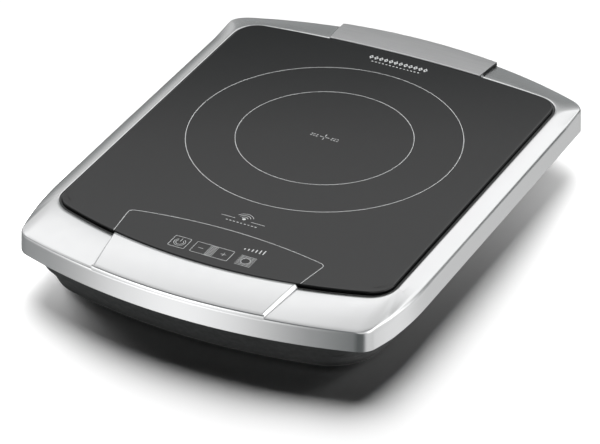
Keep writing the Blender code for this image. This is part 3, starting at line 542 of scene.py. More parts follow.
def mica():
    made = Surface("mica", (0.62, 0.58, 0.48), 0.50)
    flakes = made.cells(260.0)
    made.vary_colour(flakes, (0.70, 0.66, 0.56), (0.50, 0.46, 0.37), (0.0, 0.8))
    made.vary_roughness(flakes, 0.35, 0.65, (0.0, 0.8))
    made.bump(flakes, 0.3, 0.00008)
    return made


def aluminium():
    made = Surface("aluminium", (0.76, 0.77, 0.78), 0.34, 1.0)
    grain = made.noise(1.0, 3.0, 0.6, (30.0, 1400.0, 1400.0))
    made.vary_roughness(grain, 0.28, 0.44)
    made.vary_colour(grain, (0.68, 0.69, 0.70), (0.82, 0.83, 0.84))
    made.bump(grain, 0.2, 0.00005)
    return made


def green_board():
    made = Surface("green_board", (0.03, 0.16, 0.07), 0.34)
    tracks = made.cells(190.0, "DISTANCE_TO_EDGE", (1.0, 0.45, 1.0))
    made.vary_colour(tracks, (0.05, 0.26, 0.10), (0.018, 0.12, 0.05), (0.04, 0.1))
    made.vary_roughness(made.noise(200.0), 0.28, 0.42)
    made.bump(tracks, 0.3, 0.00004)
    return made


def component_plastic():
    made = Surface("component_plastic", (0.045, 0.045, 0.05), 0.42)
    made.vary_roughness(made.noise(350.0, 3.0), 0.36, 0.52)
    made.vary_colour(made.noise(140.0, 3.0), (0.038, 0.038, 0.042), (0.06, 0.06, 0.066))
    made.bump(made.noise(1800.0, 2.0), 0.25, 0.00005)
    return made


def film_capacitor():
    made = Surface("film_capacitor", (0.50, 0.09, 0.05), 0.36)
    made.vary_colour(made.noise(120.0, 3.0), (0.44, 0.07, 0.04), (0.58, 0.12, 0.07))
    made.vary_roughness(made.noise(300.0), 0.28, 0.46)
    made.bump(made.noise(1000.0), 0.15, 0.00005)
    return made


def white_nylon():
    made = Surface("white_nylon", (0.74, 0.73, 0.69), 0.48)
    made.vary_colour(made.noise(100.0, 3.0), (0.70, 0.69, 0.64), (0.78, 0.77, 0.74))
    made.vary_roughness(made.noise(260.0, 2.0), 0.42, 0.56)
    made.bump(made.noise(1400.0, 2.0), 0.2, 0.00005)
    return made


def wire_sleeve():
    made = Surface("wire_sleeve", (0.48, 0.46, 0.40), 0.66)
    weave = made.diagonal_bands(520.0, 1.5)
    made.vary_colour(weave, (0.40, 0.38, 0.32), (0.56, 0.54, 0.48), (0.2, 0.8))
    made.vary_roughness(weave, 0.58, 0.76, (0.0, 1.0))
    made.bump(weave, 0.5, 0.0002)
    return made


FINISHES = (satin_silver, brushed_silver, ceramic_glass, printed_grey, black_plastic, black_rubber)
FINISHES += (grey_silicone, zinc_steel, litz_copper, ferrite, mica, aluminium, green_board)
FINISHES += (component_plastic, film_capacitor, white_nylon, wire_sleeve)
MATERIALS = {make.__name__: make().material for make in FINISHES}


def dress_cad_nodes():
    """Every CAD node takes the procedural material of its slot in the record."""
    slots = {part["node"]: part["material_slot"] for part in frame["record"]["subparts"]}
    for name, node in frame["nodes"].items():
        node.data.materials.clear()
        node.data.materials.append(MATERIALS[slots[name]])


# ---- casing -------------------------------------------------------------------------------------
LIP_ROUND = 0.0005
LEDGE_WALL = 0.0025
FOOT_CHAMFER = 0.0004
# the sides' rounding takes over from the ends' where the outline has turned this far, over this span
SIDE_FROM = 0.45
SIDE_SPAN = 0.4
ROUND_REACH = 0.55  # height of the rounding, as a share of its plan width
ROUND_SHARE = 0.30  # and at most this share of the band
TOP_STEPS = 14
ROUND_STEPS = 12


def frame_shell():
    lip = GLASS.inset(-SEAT_GAP).points()
    lip_out = GLASS.inset(-SEAT_GAP - LIP_ROUND).points()
    ledge = GLASS.inset(LEDGE_WIDTH).points()
    shoulder = BAND.inset(BAND_DRAFT).points()
    foot = BAND.points()
    foot_in = BAND.inset(FOOT_CHAMFER).points()
    inner = BAND.inset(FRAME_SKIN).points()
    under = BAND.inset(FRAME_SKIN + BAND_DRAFT).points()
    below = GLASS.inset(-SEAT_GAP - LEDGE_WALL).points()
    columns = []
    for i in range(len(foot)):
        y = foot[i].y
        edge = edge_height(y)
        bottom = foot_height(y)
        start = Vector((*lip_out[i], LIP_TOP))
        end = Vector((*shoulder[i], edge))
        base = Vector((*foot[i], bottom))
        length = (end - start).length

        def top(share):
            point = start.lerp(end, share)
            point.z = LIP_TOP - (LIP_TOP - edge) * crown(share)
            return point

        along = (foot[(i + 1) % len(foot)] - foot[i - 1]).normalized()
        sideways = max(0.0, min(1.0, (abs(along.y) - SIDE_FROM) / SIDE_SPAN))
        width = ROUND_ENDS + (look_up(ROUND_SIDES, y) - ROUND_ENDS) * sideways
        if foot[i].x < 0:
            width = min(width, ROUND_LEFT)
        last = 1.0 - width / length
        column = [Vector((*ledge[i], LEDGE_TOP)), Vector((*lip[i], LEDGE_TOP))]
        column.append(Vector((*lip[i], LIP_TOP - LIP_ROUND)))
        column.append(Vector((*lip[i].lerp(lip_out[i], 0.29), LIP_TOP - 0.3 * LIP_ROUND)))
        column += [top(last * k / TOP_STEPS) for k in range(TOP_STEPS + 1)]
        fall = min(ROUND_SHARE, width * ROUND_REACH / (edge - bottom))
        inward = Vector((*(inner[i] - foot[i]).normalized(), 0.0))
        down = end.lerp(base, fall) + inward * CHAMFER_IN
        column += conic(top(last), end + inward * CHAMFER_IN * 1.5, down, ROUND_STEPS)[1:]
        column.append(end.lerp(base, fall + CHAMFER_DROP / (edge - bottom)))
        for share in (0.08, 0.5):
            column.append(column[-1].lerp(base, share))
        column += [Vector((*foot[i], bottom + FOOT_CHAMFER)), Vector((*foot_in[i], bottom))]
        column += [Vector((*inner[i], bottom)), Vector((*under[i], edge - FRAME_SKIN - 0.0014))]
        column.append(top(0.6) - Vector((0.0, 0.0, FRAME_SKIN)))
        column += [Vector((*below[i], LEDGE_BOTTOM)), Vector((*ledge[i], LEDGE_BOTTOM))]
        columns.append(column)
    loops = [list(row) for row in zip(*columns)]
    made = new_object("frame_shell", *skin(loops, True), "satin_silver", 40)
    place(made, "top_frame", slot="satin_silver")


def seat_height(x, y):
    """Height of the frame's top surface ahead of or behind the glass."""
    edge_line = BAND.inset(BAND_DRAFT)
    lip = GLASS.inset(-SEAT_GAP)
    if y < 0:
        share = (lip.front(x) - y) / (lip.front(x) - edge_line.front(x))
        edge = edge_height(BAND.front(x))
    else:
        share = (y - lip.rear(x)) / (edge_line.rear(x) - lip.rear(x))
        edge = edge_height(BAND.rear(x))
    share = max(0.0, min(1.0, share))
    return LIP_TOP - (LIP_TOP - edge) * crown(share)


# sections across a panel's end, from the outside in: distance in from the foot of the end ramp as a
# share of the ramp, share of the full height, height above the frame at no share, and depth of groove
RAMP_END = (
    (0.45, 0.0, -0.0006, 0.0),
    (0.45, 0.0, 0.00030, 0.0),
    (0.04, 0.0, 0.00036, 0.0),
    (0.0, 0.0, 0.00055, 0.0),
    (0.04, 0.05, 0.00055, 0.0),
    (0.50, 0.50, 0.00055, 0.0),
    (0.90, 0.90, 0.00055, 0.0),
    (0.98, 0.97, 0.00055, 0.0),
    (1.06, 1.0, 0.0, 0.0),
    (1.10, 1.0, 0.0, 0.0),
    (1.12, 1.0, 0.0, 0.0006),
    (1.32, 1.0, 0.0, 0.0006),
    (1.34, 1.0, 0.0, 0.0),
    (1.50, 1.0, 0.0, 0.0),
)
STEEP_END = (
    (2.6, 0.0, -0.0006, 0.0),
    (2.6, 0.0, 0.00020, 0.0),
    (0.2, 0.62, 0.00020, 0.0),
    (0.0, 0.74, 0.0, 0.0),
    (0.1, 0.90, 0.0, 0.0),
    (0.4, 0.98, 0.0, 0.0),
    (0.8, 1.0, 0.0, 0.0),
    (1.2, 1.0, 0.0, 0.0),
)


# half widths and tops are given at the inner and the outer edge
FRONT_PANEL = {
    "halves": (0.0769, 0.0709),
    "tops": (GLASS_TOP + 0.0015, GLASS_TOP - 0.0025),
    "end": RAMP_END,
    "ramp": 0.0018,
    "bulge": 0.0004,
    "rounding": 0.0013,
    "skirt": 0.0016,
}
REAR_PANEL = {
    "halves": (0.0680, 0.0700),
    "tops": (GLASS_TOP + 0.0003, GLASS_TOP - 0.0014),
    "end": STEEP_END,
    "ramp": 0.0006,
    "bulge": 0.0002,
    "rounding": 0.0006,
    "skirt": 0.0,
}


def panel(name, finish, lines, halves, tops, end, ramp, bulge, rounding, skirt):
    """A raised panel across the frame: shaped ends, a rounded outer edge, and a skirt down to the band."""
    inner_line, outer_line = lines
    inward = 1 if inner_line(0.0) > outer_line(0.0) else -1
    depth = abs(inner_line(0.0) - outer_line(0.0))
    stations = [(-1, *row) for row in end]
    stations += [(k / 20, None, 1.0, 0.0, 0.0) for k in range(-19, 20)]
    stations += [(1, *row) for row in reversed(end)]
    loops = []
    for side, reach, lift, rise, groove in stations:

        def point(step, drop=0.0, push=0.0):
            half = halves[0] + (halves[1] - halves[0]) * step
            x = side * (half if reach is None else half + ramp - ramp * reach)
            y = inner_line(x) + (outer_line(x) - inner_line(x)) * step + inward * push
            low = seat_height(x, y) + rise
            top = tops[0] + (tops[1] - tops[0]) * step + bulge * 4 * step * (1 - step)
            return Vector((x, y, low + (top - low - drop) * lift - groove))

        def sunk(step, below):
            made = point(step)
            made.z = min(made.z, seat_height(made.x, made.y)) - below
            return made

        ledge = CHAMFER_IN if skirt else 0.0
        near = 0.0004 / depth
        far = 1.0 - (rounding + ledge) / depth
        loop = [sunk(0.0, 0.0004), point(0.0, 0.0004), point(near * 0.3, 0.00012)]
        loop += [point(near + (far - near) * k / 16) for k in range(17)]
        for k in range(1, 7):
            turn = math.radians(90 * k / 6)
            reach = ledge + rounding * (1 - math.sin(turn))
            loop.append(point(1.0 - reach / depth, rounding * (1 - math.cos(turn))))
        if skirt:
            low = point(1.0, 0.0, -0.00003)
            low.z = edge_height(BAND.front(low.x)) - skirt
            loop.append(point(1.0, rounding + CHAMFER_DROP, -0.00003))
            loop[-2].z = max(loop[-2].z, low.z + 0.0006)
            loop[-1].z = max(loop[-1].z, low.z + 0.0002)
            loop.append(low)
            loop.append(Vector((low.x, low.y + 0.0014, low.z - 0.0002)))
        loop.append(sunk(0.93, 0.0010))
        loops.append(loop)
    return new_object(name, *skin(loops, False), finish, 30)


def panels():
    shoulder = BAND.inset(BAND_DRAFT)
    lines = (lambda x: GLASS.front(x) - FRONT_PANEL_SETBACK, shoulder.front)
    made = panel("front_panel", "satin_silver", lines, **FRONT_PANEL)
    place(made, "front_trim", slot="satin_silver")
    lines = (lambda x: GLASS.rear(x) + REAR_PANEL_SETBACK, shoulder.rear)
    made = panel("rear_panel", "brushed_silver", lines, **REAR_PANEL)
    # the rear panel's end faces take black plastic: painted shade, a dark face where the ends lie in shadow
    made.data.materials.append(MATERIALS["black_plastic"])
    for face in made.data.polygons:
        if abs(face.normal.x) > SHADED_END_TILT:
            face.material_index = 1
    place(made, "rear_trim", slot="brushed_silver")


def glass_plate():
    bottom = GLASS_TOP - GLASS_THICKNESS
    loops = [
        level(GLASS.inset(0.0005), bottom),
        level(GLASS, bottom + 0.0005),
        level(GLASS, GLASS_TOP - GLASS_ROUND),
    ]
    for k in range(1, 8):
        turn = math.radians(90 * k / 7)
        inward = GLASS_ROUND * (1 - math.cos(turn))
        loops.append(level(GLASS.inset(inward), GLASS_TOP - GLASS_ROUND * (1 - math.sin(turn))))
    loops.append(level(GLASS.inset(GLASS_ROUND + 0.0004), GLASS_TOP))
    loops.append(level(GLASS.inset(0.006), GLASS_TOP))
    made = new_object("ceramic_plate", *skin(loops, False), "ceramic_glass", 40)
    place(made, "glass_plate", slot="ceramic_glass")


def seal():
    """Bead in the gap round the glass, with a rounded crest."""
    crest = LIP_TOP - 0.0004
    low = LEDGE_TOP + 0.0001
    high = GLASS_TOP - GLASS_THICKNESS - 0.0001
    outer = SEAT_GAP - 0.0001
    section = [(outer, low), (outer, crest - 0.0006), (outer - 0.0003, crest - 0.0002)]
    section += [(SEAT_GAP * 0.5, crest), (0.0005, crest - 0.0002), (0.0002, crest - 0.0007)]
    section += [(0.0002, high), (-0.0075, high), (-0.0075, low)]
    loops = [level(GLASS.inset(-out), z) for out, z in section]
    made = new_object("edge_seal", *skin(loops, True), "grey_silicone", 50)
    place(made, "glass_seal", slot="grey_silicone")


# rounded foot of the base: (distance in from the floor's outline, height above its underside)
BASE_ROUND = ((0.0034, 0.0), (0.0020, 0.0003), (0.0009, 0.0010), (0.0002, 0.0022))
BASE_FLANK_TOP = 0.0322
# the rim is higher at the rear: its height ahead, the rise, and where the rise starts and how long it is
BASE_RIM_TOP = 0.0440
BASE_RIM_RISE = 0.0044
BASE_RIM_START = 0.125
BASE_RIM_RUN = 0.030
GLAND_BLOCK = Vector((0.011, 0.009, 0.0105))  # half sizes of the block round the gland
GLAND_BORE = 0.0070  # and its hole for the gland
POST_RADIUS = 0.0045
POST_TOP = 0.0307
SCREW_HOLE = 0.0036
FOOT_RECESS = 0.0092
GRILLE_RADIUS = 0.034
GRILLE_PITCH = 0.0072
GRILLE_HALF_SLOT = 0.0018
OUTLET_FROM = -0.090
OUTLET_PITCH = 0.0085
OUTLET_HALF_SLOT = 0.0017


def base_row(share, thickness=0.0):
    low = BASE_FLOOR.inset(thickness).points()
    high = BASE_RIM.inset(thickness).points()
    return [a.lerp(b, share) for a, b in zip(low, high)]


def base_tub():
    """The tub before its openings, from the underside up the outside and down the inside."""

    def rim(p):
        return BASE_RIM_TOP + BASE_RIM_RISE * min(1.0, max(0.0, (p.y - BASE_RIM_START) / BASE_RIM_RUN))

    rows = [(BASE_FLOOR.inset(inset).points(), BASE_BOTTOM + height) for inset, height in BASE_ROUND]
    rows.append((base_row(0.0), BASE_TURN))
    for share in (k / 8 for k in range(1, 8)):
        rows.append((base_row(share**1.1), BASE_TURN + BASE_FLANK * share))
    rows += [(base_row(1.0), BASE_FLANK_TOP), (base_row(1.0), rim), (base_row(1.0, BASE_WALL), rim)]
    rows += [(base_row(1.0, BASE_WALL), 0.0320), (base_row(0.62, BASE_WALL), 0.0200)]
    rows.append((base_row(0.0, BASE_WALL + 0.001), INNER_FLOOR))
    return [[Vector((p.x, p.y, z(p) if callable(z) else z)) for p in points] for points, z in rows]


def base_shell():
    base = new_object("base_shell", *skin(base_tub(), False), "black_plastic", 35)
    adds = bmesh.new()
    cut_box(GLAND - GLAND_BLOCK, GLAND + GLAND_BLOCK, adds)
    for spot in SCREW_SPOTS:
        cut_cylinder(spot, POST_RADIUS, INNER_FLOOR - 0.001, POST_TOP, adds)
    carve(base, adds, "UNION")
    cuts = bmesh.new()
    for spot in SCREW_SPOTS:
        cut_cylinder(spot, SCREW_HOLE, BASE_BOTTOM - 0.001, 0.0120, cuts)
    for spot in FOOT_SPOTS:
        cut_cylinder(spot, FOOT_RECESS, BASE_BOTTOM - 0.001, BASE_BOTTOM + 0.0010, cuts, 40)
    for i in range(9):
        off = (i - 4) * GRILLE_PITCH
        y = FAN.y + off
        half = math.sqrt(GRILLE_RADIUS**2 - off**2)
        low, high = y - GRILLE_HALF_SLOT, y + GRILLE_HALF_SLOT
        cut_box((FAN.x - half, low, 0.004), (FAN.x + half, high, 0.0085), cuts)
    for i in range(10):
        x = OUTLET_FROM + i * OUTLET_PITCH
        cut_box((x - OUTLET_HALF_SLOT, 0.148, 0.0150), (x + OUTLET_HALF_SLOT, 0.180, 0.0290), cuts)
    cut_round(Matrix.Translation(GLAND) @ Matrix.Rotation(math.pi / 2, 4, "X"), GLAND_BORE, 0.040, cuts, 48)
    carve(base, cuts)
    base.data.shade_smooth()
    base.data.set_sharp_from_angle(angle=math.radians(30))
    place(base, "base_housing", slot="black_plastic")


def feet():
    radius = 0.0086
    top = BASE_BOTTOM + 0.0007
    profile = [(0.0012, 0.0010), (0.0030, 0.0009), (0.0038, 0.0002), (0.0042, 0.0)]
    profile += [(radius - 0.0012, 0.0)]
    profile += arc((radius - 0.0010, 0.0010), 0.0010, -80, 0, 5)
    profile += [(radius, 0.0032), (radius - 0.0005, 0.0036), (radius - 0.0005, 0.0042), (radius, 0.0046)]
    profile += [(radius, top)]
    for number, spot in enumerate(FOOT_SPOTS, 1):
        vertices, faces = turned(profile, spot, 48)
        made = new_object(f"rubber_foot_{number}", vertices, faces, "black_rubber", 40)
        place(made, f"foot_{number}", slot="black_rubber")


def casing_screws():
    head = 0.0030
    profile = arc((head - 0.0006, 0.0098), 0.0006, -90, 0, 5)
    profile += [(head, 0.0117), (0.0015, 0.0117), (0.0015, 0.0405), (0.0003, 0.0425)]
    for number, spot in enumerate(SCREW_SPOTS, 1):
        vertices, faces = turned(profile, spot, 40)
        made = new_object(f"casing_screw_{number}", vertices, faces, "zinc_steel", 35)
        cross = bmesh.new()
        x, y = spot
        for half_x, half_y in ((0.0017, 0.00035), (0.00035, 0.0017)):
            cut_box((x - half_x, y - half_y, 0.0085), (x + half_x, y + half_y, 0.0105), cross)
        carve(made, cross)
        made.data.set_sharp_from_angle(angle=math.radians(35))
        place(made, f"housing_screw_{number}", slot="zinc_steel")


def cord_gland():
    """Rubber bush of the mains inlet: two rounded flanges and a bore with softened mouths."""
    waist = 0.0093
    end = waist + 0.0024
    bore = 0.0042
    rim = 0.0090
    half = [(0.0068, 0.0), (0.0068, waist), (rim - 0.0002, waist)]
    half += arc((rim - 0.0008, end - 0.0008), 0.0008, 0, 90, 5)
    half += [(bore + 0.0010, end)] + arc((bore + 0.0008, end - 0.0008), 0.0008, 100, 180, 5)
    profile = half + [(r, -z) for r, z in reversed(half[1:])]
    vertices, faces = turned(profile, steps=56, closed=True)
    turn = Matrix.Translation(GLAND) @ Matrix.Rotation(-math.pi / 2, 4, "X")
    made = new_object("cord_gland", [turn @ v for v in vertices], faces, "black_rubber", 40)
    place(made, "cable_gland", slot="black_rubber")


# ---- printed marks ------------------------------------------------------------------------------
PRINT_LOW = GLASS_TOP - 0.00002
PRINT_HIGH = GLASS_TOP + 0.00004
RING_RADII = (0.1100, 0.0708)
RING_LINE = 0.00052
KEY_LINE = 0.00038


def strip(work, path, width, closed=False):
    """A printed line along plan points, of even width, with mitred turns."""
    points = [Vector(p) for p in path]
    count = len(points)
    pairs = []
    for i, here in enumerate(points):
        before = points[i - 1] if closed or i else here
        after = points[(i + 1) % count] if closed or i < count - 1 else here
        a = (here - before).normalized() if (here - before).length > 1e-9 else None
        b = (after - here).normalized() if (after - here).length > 1e-9 else None
        a = a or b
        b = b or a
        along = (a + b).normalized()
        normal = Vector((-along.y, along.x))
        reach = width / 2 / max(0.35, along.dot(a))
        pairs.append((here + normal * reach, here - normal * reach))
    rows = []
    for left, right in pairs:
        corners = ((left, PRINT_HIGH), (left, PRINT_LOW), (right, PRINT_LOW), (right, PRINT_HIGH))
        rows.append([work.verts.new((*point, z)) for point, z in corners])
    for i in range(count if closed else count - 1):
        low, high = rows[i], rows[(i + 1) % count]
        for k in range(4):
            m = (k + 1) % 4
            work.faces.new((low[k], low[m], high[m], high[k]))
    if not closed:
        work.faces.new(rows[0][::-1])
        work.faces.new(rows[-1])


def rounded(low, high, radius, steps=6):
    """Plan points of a rectangle with rounded corners."""
    points = []
    for x, y, start in (
        (high[0] - radius, high[1] - radius, 0),
        (low[0] + radius, high[1] - radius, 90),
        (low[0] + radius, low[1] + radius, 180),
        (high[0] - radius, low[1] + radius, 270),
    ):
        points += arc((x, y), radius, start, start + 90, steps)
    return points


def draw_rings(work):
    for radius in RING_RADII:
        strip(work, circle((0.0, ZONE_Y), radius, 256), RING_LINE, True)


def draw_touch_outline(work):
    """Outline of the touch area: slanted ends and a bowed rear line, with rounded corners between them."""
    corner = 0.0036
    left = Vector((-0.0837, ZONE_Y - 0.1630))
    right = Vector((0.0841, ZONE_Y - 0.1635))
    foot_left = Vector((-0.0803, ZONE_Y - 0.1935))
    foot_right = Vector((0.0790, ZONE_Y - 0.1935))
    rise = ZONE_Y - 0.15375 - (left.y + right.y) / 2
    bow = []
    for i in range(41):
        t = i / 40
        bow.append(left.lerp(right, t) + Vector((0.0, rise * 4 * t * (1 - t))))
    near_left = left + (foot_left - left).normalized() * corner
    near_right = right + (foot_right - right).normalized() * corner
    path = [foot_left, *conic(near_left, left, bow[1], 8), *bow[2:-2]]
    path += [*conic(bow[-2], right, near_right, 8), foot_right]
    strip(work, path, RING_LINE)


def draw_keys(work):
    y_low = ZONE_Y - 0.1925
    y_high = ZONE_Y - 0.1784
    y = (y_low + y_high) / 2
    strip(work, rounded((-0.0345, y_low), (-0.0208, y_high), 0.0010), KEY_LINE, True)
    power = (-0.02765, y - 0.0002)
    strip(work, arc(power, 0.0045, 122, 418, 40), KEY_LINE)
    strip(work, arc(power, 0.0030, 132, 408, 40), KEY_LINE)
    strip(work, [(power[0], y + 0.0008), (power[0], y + 0.0052)], KEY_LINE)
    strip(work, rounded((-0.0157, y_low), (0.0158, y_high), 0.0008), KEY_LINE, True)
    strip(work, [(-0.0120, y), (-0.0076, y)], KEY_LINE)
    strip(work, [(0.0073, y), (0.0121, y)], KEY_LINE)
    strip(work, [(0.0097, y - 0.0024), (0.0097, y + 0.0024)], KEY_LINE)


def draw_display_grid(work):
    x_low = -0.0036
    x_high = 0.0024
    y_low = ZONE_Y - 0.1918
    y_high = ZONE_Y - 0.1791
    for k in range(5):
        x = x_low + (x_high - x_low) * k / 4
        strip(work, [(x, y_low), (x, y_high)], 0.00026)
    for k in range(8):
        y = y_low + (y_high - y_low) * k / 7
        strip(work, [(x_low, y), (x_high, y)], 0.00030)


def draw_zone_key(work):
    """A square of level lines round a pan seen from above."""
    low = Vector((0.0222, ZONE_Y - 0.1921))
    high = Vector((0.0353, ZONE_Y - 0.1797))
    middle = (low + high) / 2
    hole = 0.0036
    line = 0.00042
    rows = 8
    for k in range(rows + 1):
        y = low.y + (high.y - low.y) * k / rows
        off = abs(y - middle.y)
        if off < hole:
            reach = math.sqrt(hole * hole - off * off)
            strip(work, [(low.x, y), (middle.x - reach, y)], line)
            strip(work, [(middle.x + reach, y), (high.x, y)], line)
        else:
            strip(work, [(low.x, y), (high.x, y)], line)
    strip(work, circle(middle, hole, 40), line, True)


def draw_level_bars(work):
    """A generic sign for the power level: six bars of rising height."""
    foot = ZONE_Y - 0.1724
    for k in range(6):
        x = 0.0205 + k * 0.0031
        strip(work, [(x, foot), (x, foot + 0.0020 + 0.00072 * k)], 0.00095)


def draw_touch_sign(work):
    """A generic touch sign: arcs spreading from a fingertip dot, over a dashed line."""
    centre = Vector((0.0003, ZONE_Y - 0.1352))
    strip(work, circle(centre, 0.0008, 20), 0.0012, True)
    for radius in (0.0030, 0.0052, 0.0074):
        strip(work, arc(centre, radius, 28, 152, 30), 0.00045)
    y = ZONE_Y - 0.1366
    for start, end in ((-0.0187, -0.0067), (0.0073, 0.0190)):
        strip(work, [(start, y), (end, y)], 0.00040)
    y = ZONE_Y - 0.1412
    for k in range(9):
        x = -0.0122 + k * 0.0031
        strip(work, [(x, y), (x + 0.0016, y)], 0.0008)


def draw_centre_sign(work):
    """A generic centring cross for the pan, with short guide dashes."""
    middle = Vector((0.0, ZONE_Y))
    for direction in (Vector((1, 0)), Vector((-1, 0)), Vector((0, 1)), Vector((0, -1))):
        strip(work, [middle + direction * reach for reach in (0.0010, 0.0042)], 0.0006)
    for side in (-1, 1):
        for k in range(3):
            x = side * (0.0066 + 0.0024 * k)
            for y in (-0.0012, 0.0012):
                strip(work, [(x - 0.0007, ZONE_Y + y), (x + 0.0007, ZONE_Y + y)], 0.0008)


def draw_rear_sign(work):
    """A generic ornament near the rear edge: a row of lozenges over a row of short dashes."""
    y = ZONE_Y + 0.1312
    for k in range(12):
        x = -0.0236 + k * 0.00445
        strip(work, [(x - 0.0013, y), (x, y + 0.0021), (x + 0.0013, y), (x, y - 0.0021)], 0.0009, True)
    for k in range(14):
        x = -0.0206 + k * 0.00320
        strip(work, [(x, y - 0.0062), (x + 0.0015, y - 0.0062)], 0.0011)


def printed_marks():
    for name, draw in (
        ("zone_rings", draw_rings),
        ("touch_outline", draw_touch_outline),
        ("keys", draw_keys),
        ("display_grid", draw_display_grid),
        ("zone_key", draw_zone_key),
        ("level_bars", draw_level_bars),
        ("touch_sign", draw_touch_sign),
        ("centre_sign", draw_centre_sign),
        ("rear_sign", draw_rear_sign),
    ):
        work = bmesh.new()
        draw(work)
        place(from_bmesh("print_" + name, work, "printed_grey", 30))


# ---- studio -------------------------------------------------------------------------------------
FLOOR_HALF = 12.0


def studio_floor():
    corners = [(x * FLOOR_HALF, y * FLOOR_HALF, 0.0) for x, y in ((-1, -1), (1, -1), (1, 1), (-1, 1))]
    mesh = bpy.data.meshes.new("studio_floor")
    mesh.from_pydata(corners, [], [(0, 1, 2, 3)])
    floor = add_object("studio_floor", mesh)
    paint = Surface("studio_paper", (0.86, 0.86, 0.86), 0.95, Specular_IOR_Level=0.0)
    mesh.materials.append(paint.material)
    floor.visible_glossy = False


# Walls are given as brightness by direction, in degrees of elevation and azimuth; azimuth 0 is +X, 90 is +Y.
PEAK = 1.7  # brightness of the brightest wall
# (elevation, brightness) of the wall across from the camera
BACK_WALL = ((0.0, 0.26), (6.0, 0.32), (12.0, 0.37), (17.0, 0.30), (22.0, 0.20), (27.0, 0.16), (29.2, 0.14))
BACK_WALL += ((30.0, 0.26), (30.6, 0.42), (31.4, 0.60), (32.6, 0.72), (34.2, 0.80), (36.5, 1.38))
BACK_WALL += ((40.5, 1.50), (44.0, 1.04), (48.0, 0.76), (55.0, 0.54), (90.0, 0.62))
# the same for the part of it to the left, up to the height where the two are alike
LEFT_WALL = ((0.0, 0.22), (5.0, 0.32), (11.0, 0.50), (21.0, 0.76), (30.0, 0.84))
LEFT_WALL_AZIMUTH = (122.0, 128.0)
LEFT_WALL_TOP = (31.0, 29.0)
# the same for the wall behind the camera, and how far round it reaches towards the back wall
FRONT_WALL = ((0.0, 0.40), (10.0, 0.62), (30.0, 0.80), (58.0, 0.40), (90.0, 0.62))
TOWARDS_CAMERA = (0.459, -0.889)
FRONT_WALL_REACH = (-0.10, 0.20)
# (azimuth, brightness) below the horizon
LOW_WALL = ((-180.0, 0.28), (-153.0, 0.31), (-142.0, 0.51), (-131.0, 0.95), (-117.0, 1.19), (-106.0, 0.97))
LOW_WALL += ((-97.0, 0.60), (-88.0, 0.31), (-77.0, 0.155), (-66.0, 0.11), (-34.0, 0.12), (-18.0, 0.72))
LOW_WALL += ((10.0, 0.70), (25.0, 0.68), (36.0, 0.86), (44.0, 0.94), (50.0, 0.86), (58.0, 0.64))
LOW_WALL += ((72.0, 0.58), (100.0, 0.30), (116.0, 0.05), (128.0, 0.05), (133.0, 0.22), (145.0, 0.26))
LOW_WALL += ((180.0, 0.28),)
HORIZON = (-0.8, 0.8)
# how much brighter the low wall in front is close to the horizon
LOW_FRONT = ((-30.0, 1.0), (-22.0, 1.0), (-16.0, 1.9), (-2.0, 1.9), (0.0, 1.0))
LOW_FRONT_AZIMUTH = (-78.0, -92.0)
# the same for the low wall to the right
LOW_RIGHT = ((-30.0, 1.0), (-24.0, 1.0), (-15.0, 0.15), (0.0, 0.15))
LOW_SCALE = 2.0  # no number in these two is above it
# Panels on the walls: brightness, azimuth of the middle, half widths where the panel is gone and full, and
# pairs of elevations where it is gone and full. Later panels lie over earlier ones.
FRONT_SCREEN = (0.16, -117.0, (52.0, 44.0), (68.0, 56.0))
RIGHT_SCREEN = (0.08, 60.0, (16.0, 12.0))
RIGHT_LIGHT = (1.24, 68.0, (36.0, 22.0), (50.0, 42.0), (18.0, 25.0))
CORNER_LIGHT = (1.65, 16.0, (30.0, 22.0), (46.0, 38.0))
GREEN_BELOW = 0.5  # walls darker than this have a green cast
RED_IN_DARK = 0.92  # share of red left in the darkest of them


def panel_mask(tree, elevation, azimuth, middle, half_widths, *heights):
    """How much of a panel on the walls lies in each direction, from 0 to 1."""
    off_middle = tree.maths("ABSOLUTE", tree.maths("SUBTRACT", azimuth, middle))
    mask = tree.spread(off_middle, *half_widths)
    for pair in heights:
        mask = tree.maths("MULTIPLY", mask, tree.spread(elevation, *pair))
    return mask


def wall_brightness(tree, x, y, z):
    degree = 180.0 / math.pi
    elevation = tree.maths("MULTIPLY", tree.maths("ARCSINE", z), degree)
    azimuth = tree.maths("MULTIPLY", tree.maths("ARCTAN2", y, x), degree)

    def lay(under, brightness, *where):
        return tree.mix(panel_mask(tree, elevation, azimuth, *where), under, brightness)

    front = lay(tree.table(elevation, FRONT_WALL, PEAK), *FRONT_SCREEN)
    ahead, aside = (tree.maths("MULTIPLY", axis, share) for axis, share in zip((x, y), TOWARDS_CAMERA))
    in_front = tree.spread(tree.maths("ADD", ahead, aside), *FRONT_WALL_REACH)
    upper = tree.mix(in_front, tree.table(elevation, BACK_WALL, PEAK), front)
    to_left = tree.spread(azimuth, *LEFT_WALL_AZIMUTH)
    to_left = tree.maths("MULTIPLY", to_left, tree.spread(elevation, *LEFT_WALL_TOP))
    upper = tree.mix(to_left, upper, tree.table(elevation, LEFT_WALL, PEAK))
    for numbers in (RIGHT_SCREEN, RIGHT_LIGHT, CORNER_LIGHT):
        upper = lay(upper, *numbers)
    low = tree.table(azimuth, LOW_WALL, PEAK)
    ahead = tree.spread(azimuth, *LOW_FRONT_AZIMUTH)
    to_right = panel_mask(tree, elevation, azimuth, *RIGHT_SCREEN[1:])
    for where, rows in ((ahead, LOW_FRONT), (to_right, LOW_RIGHT)):
        low = tree.maths("MULTIPLY", low, tree.mix(where, 1.0, tree.table(elevation, rows, LOW_SCALE)))
    return tree.mix(tree.spread(elevation, *HORIZON), low, upper)


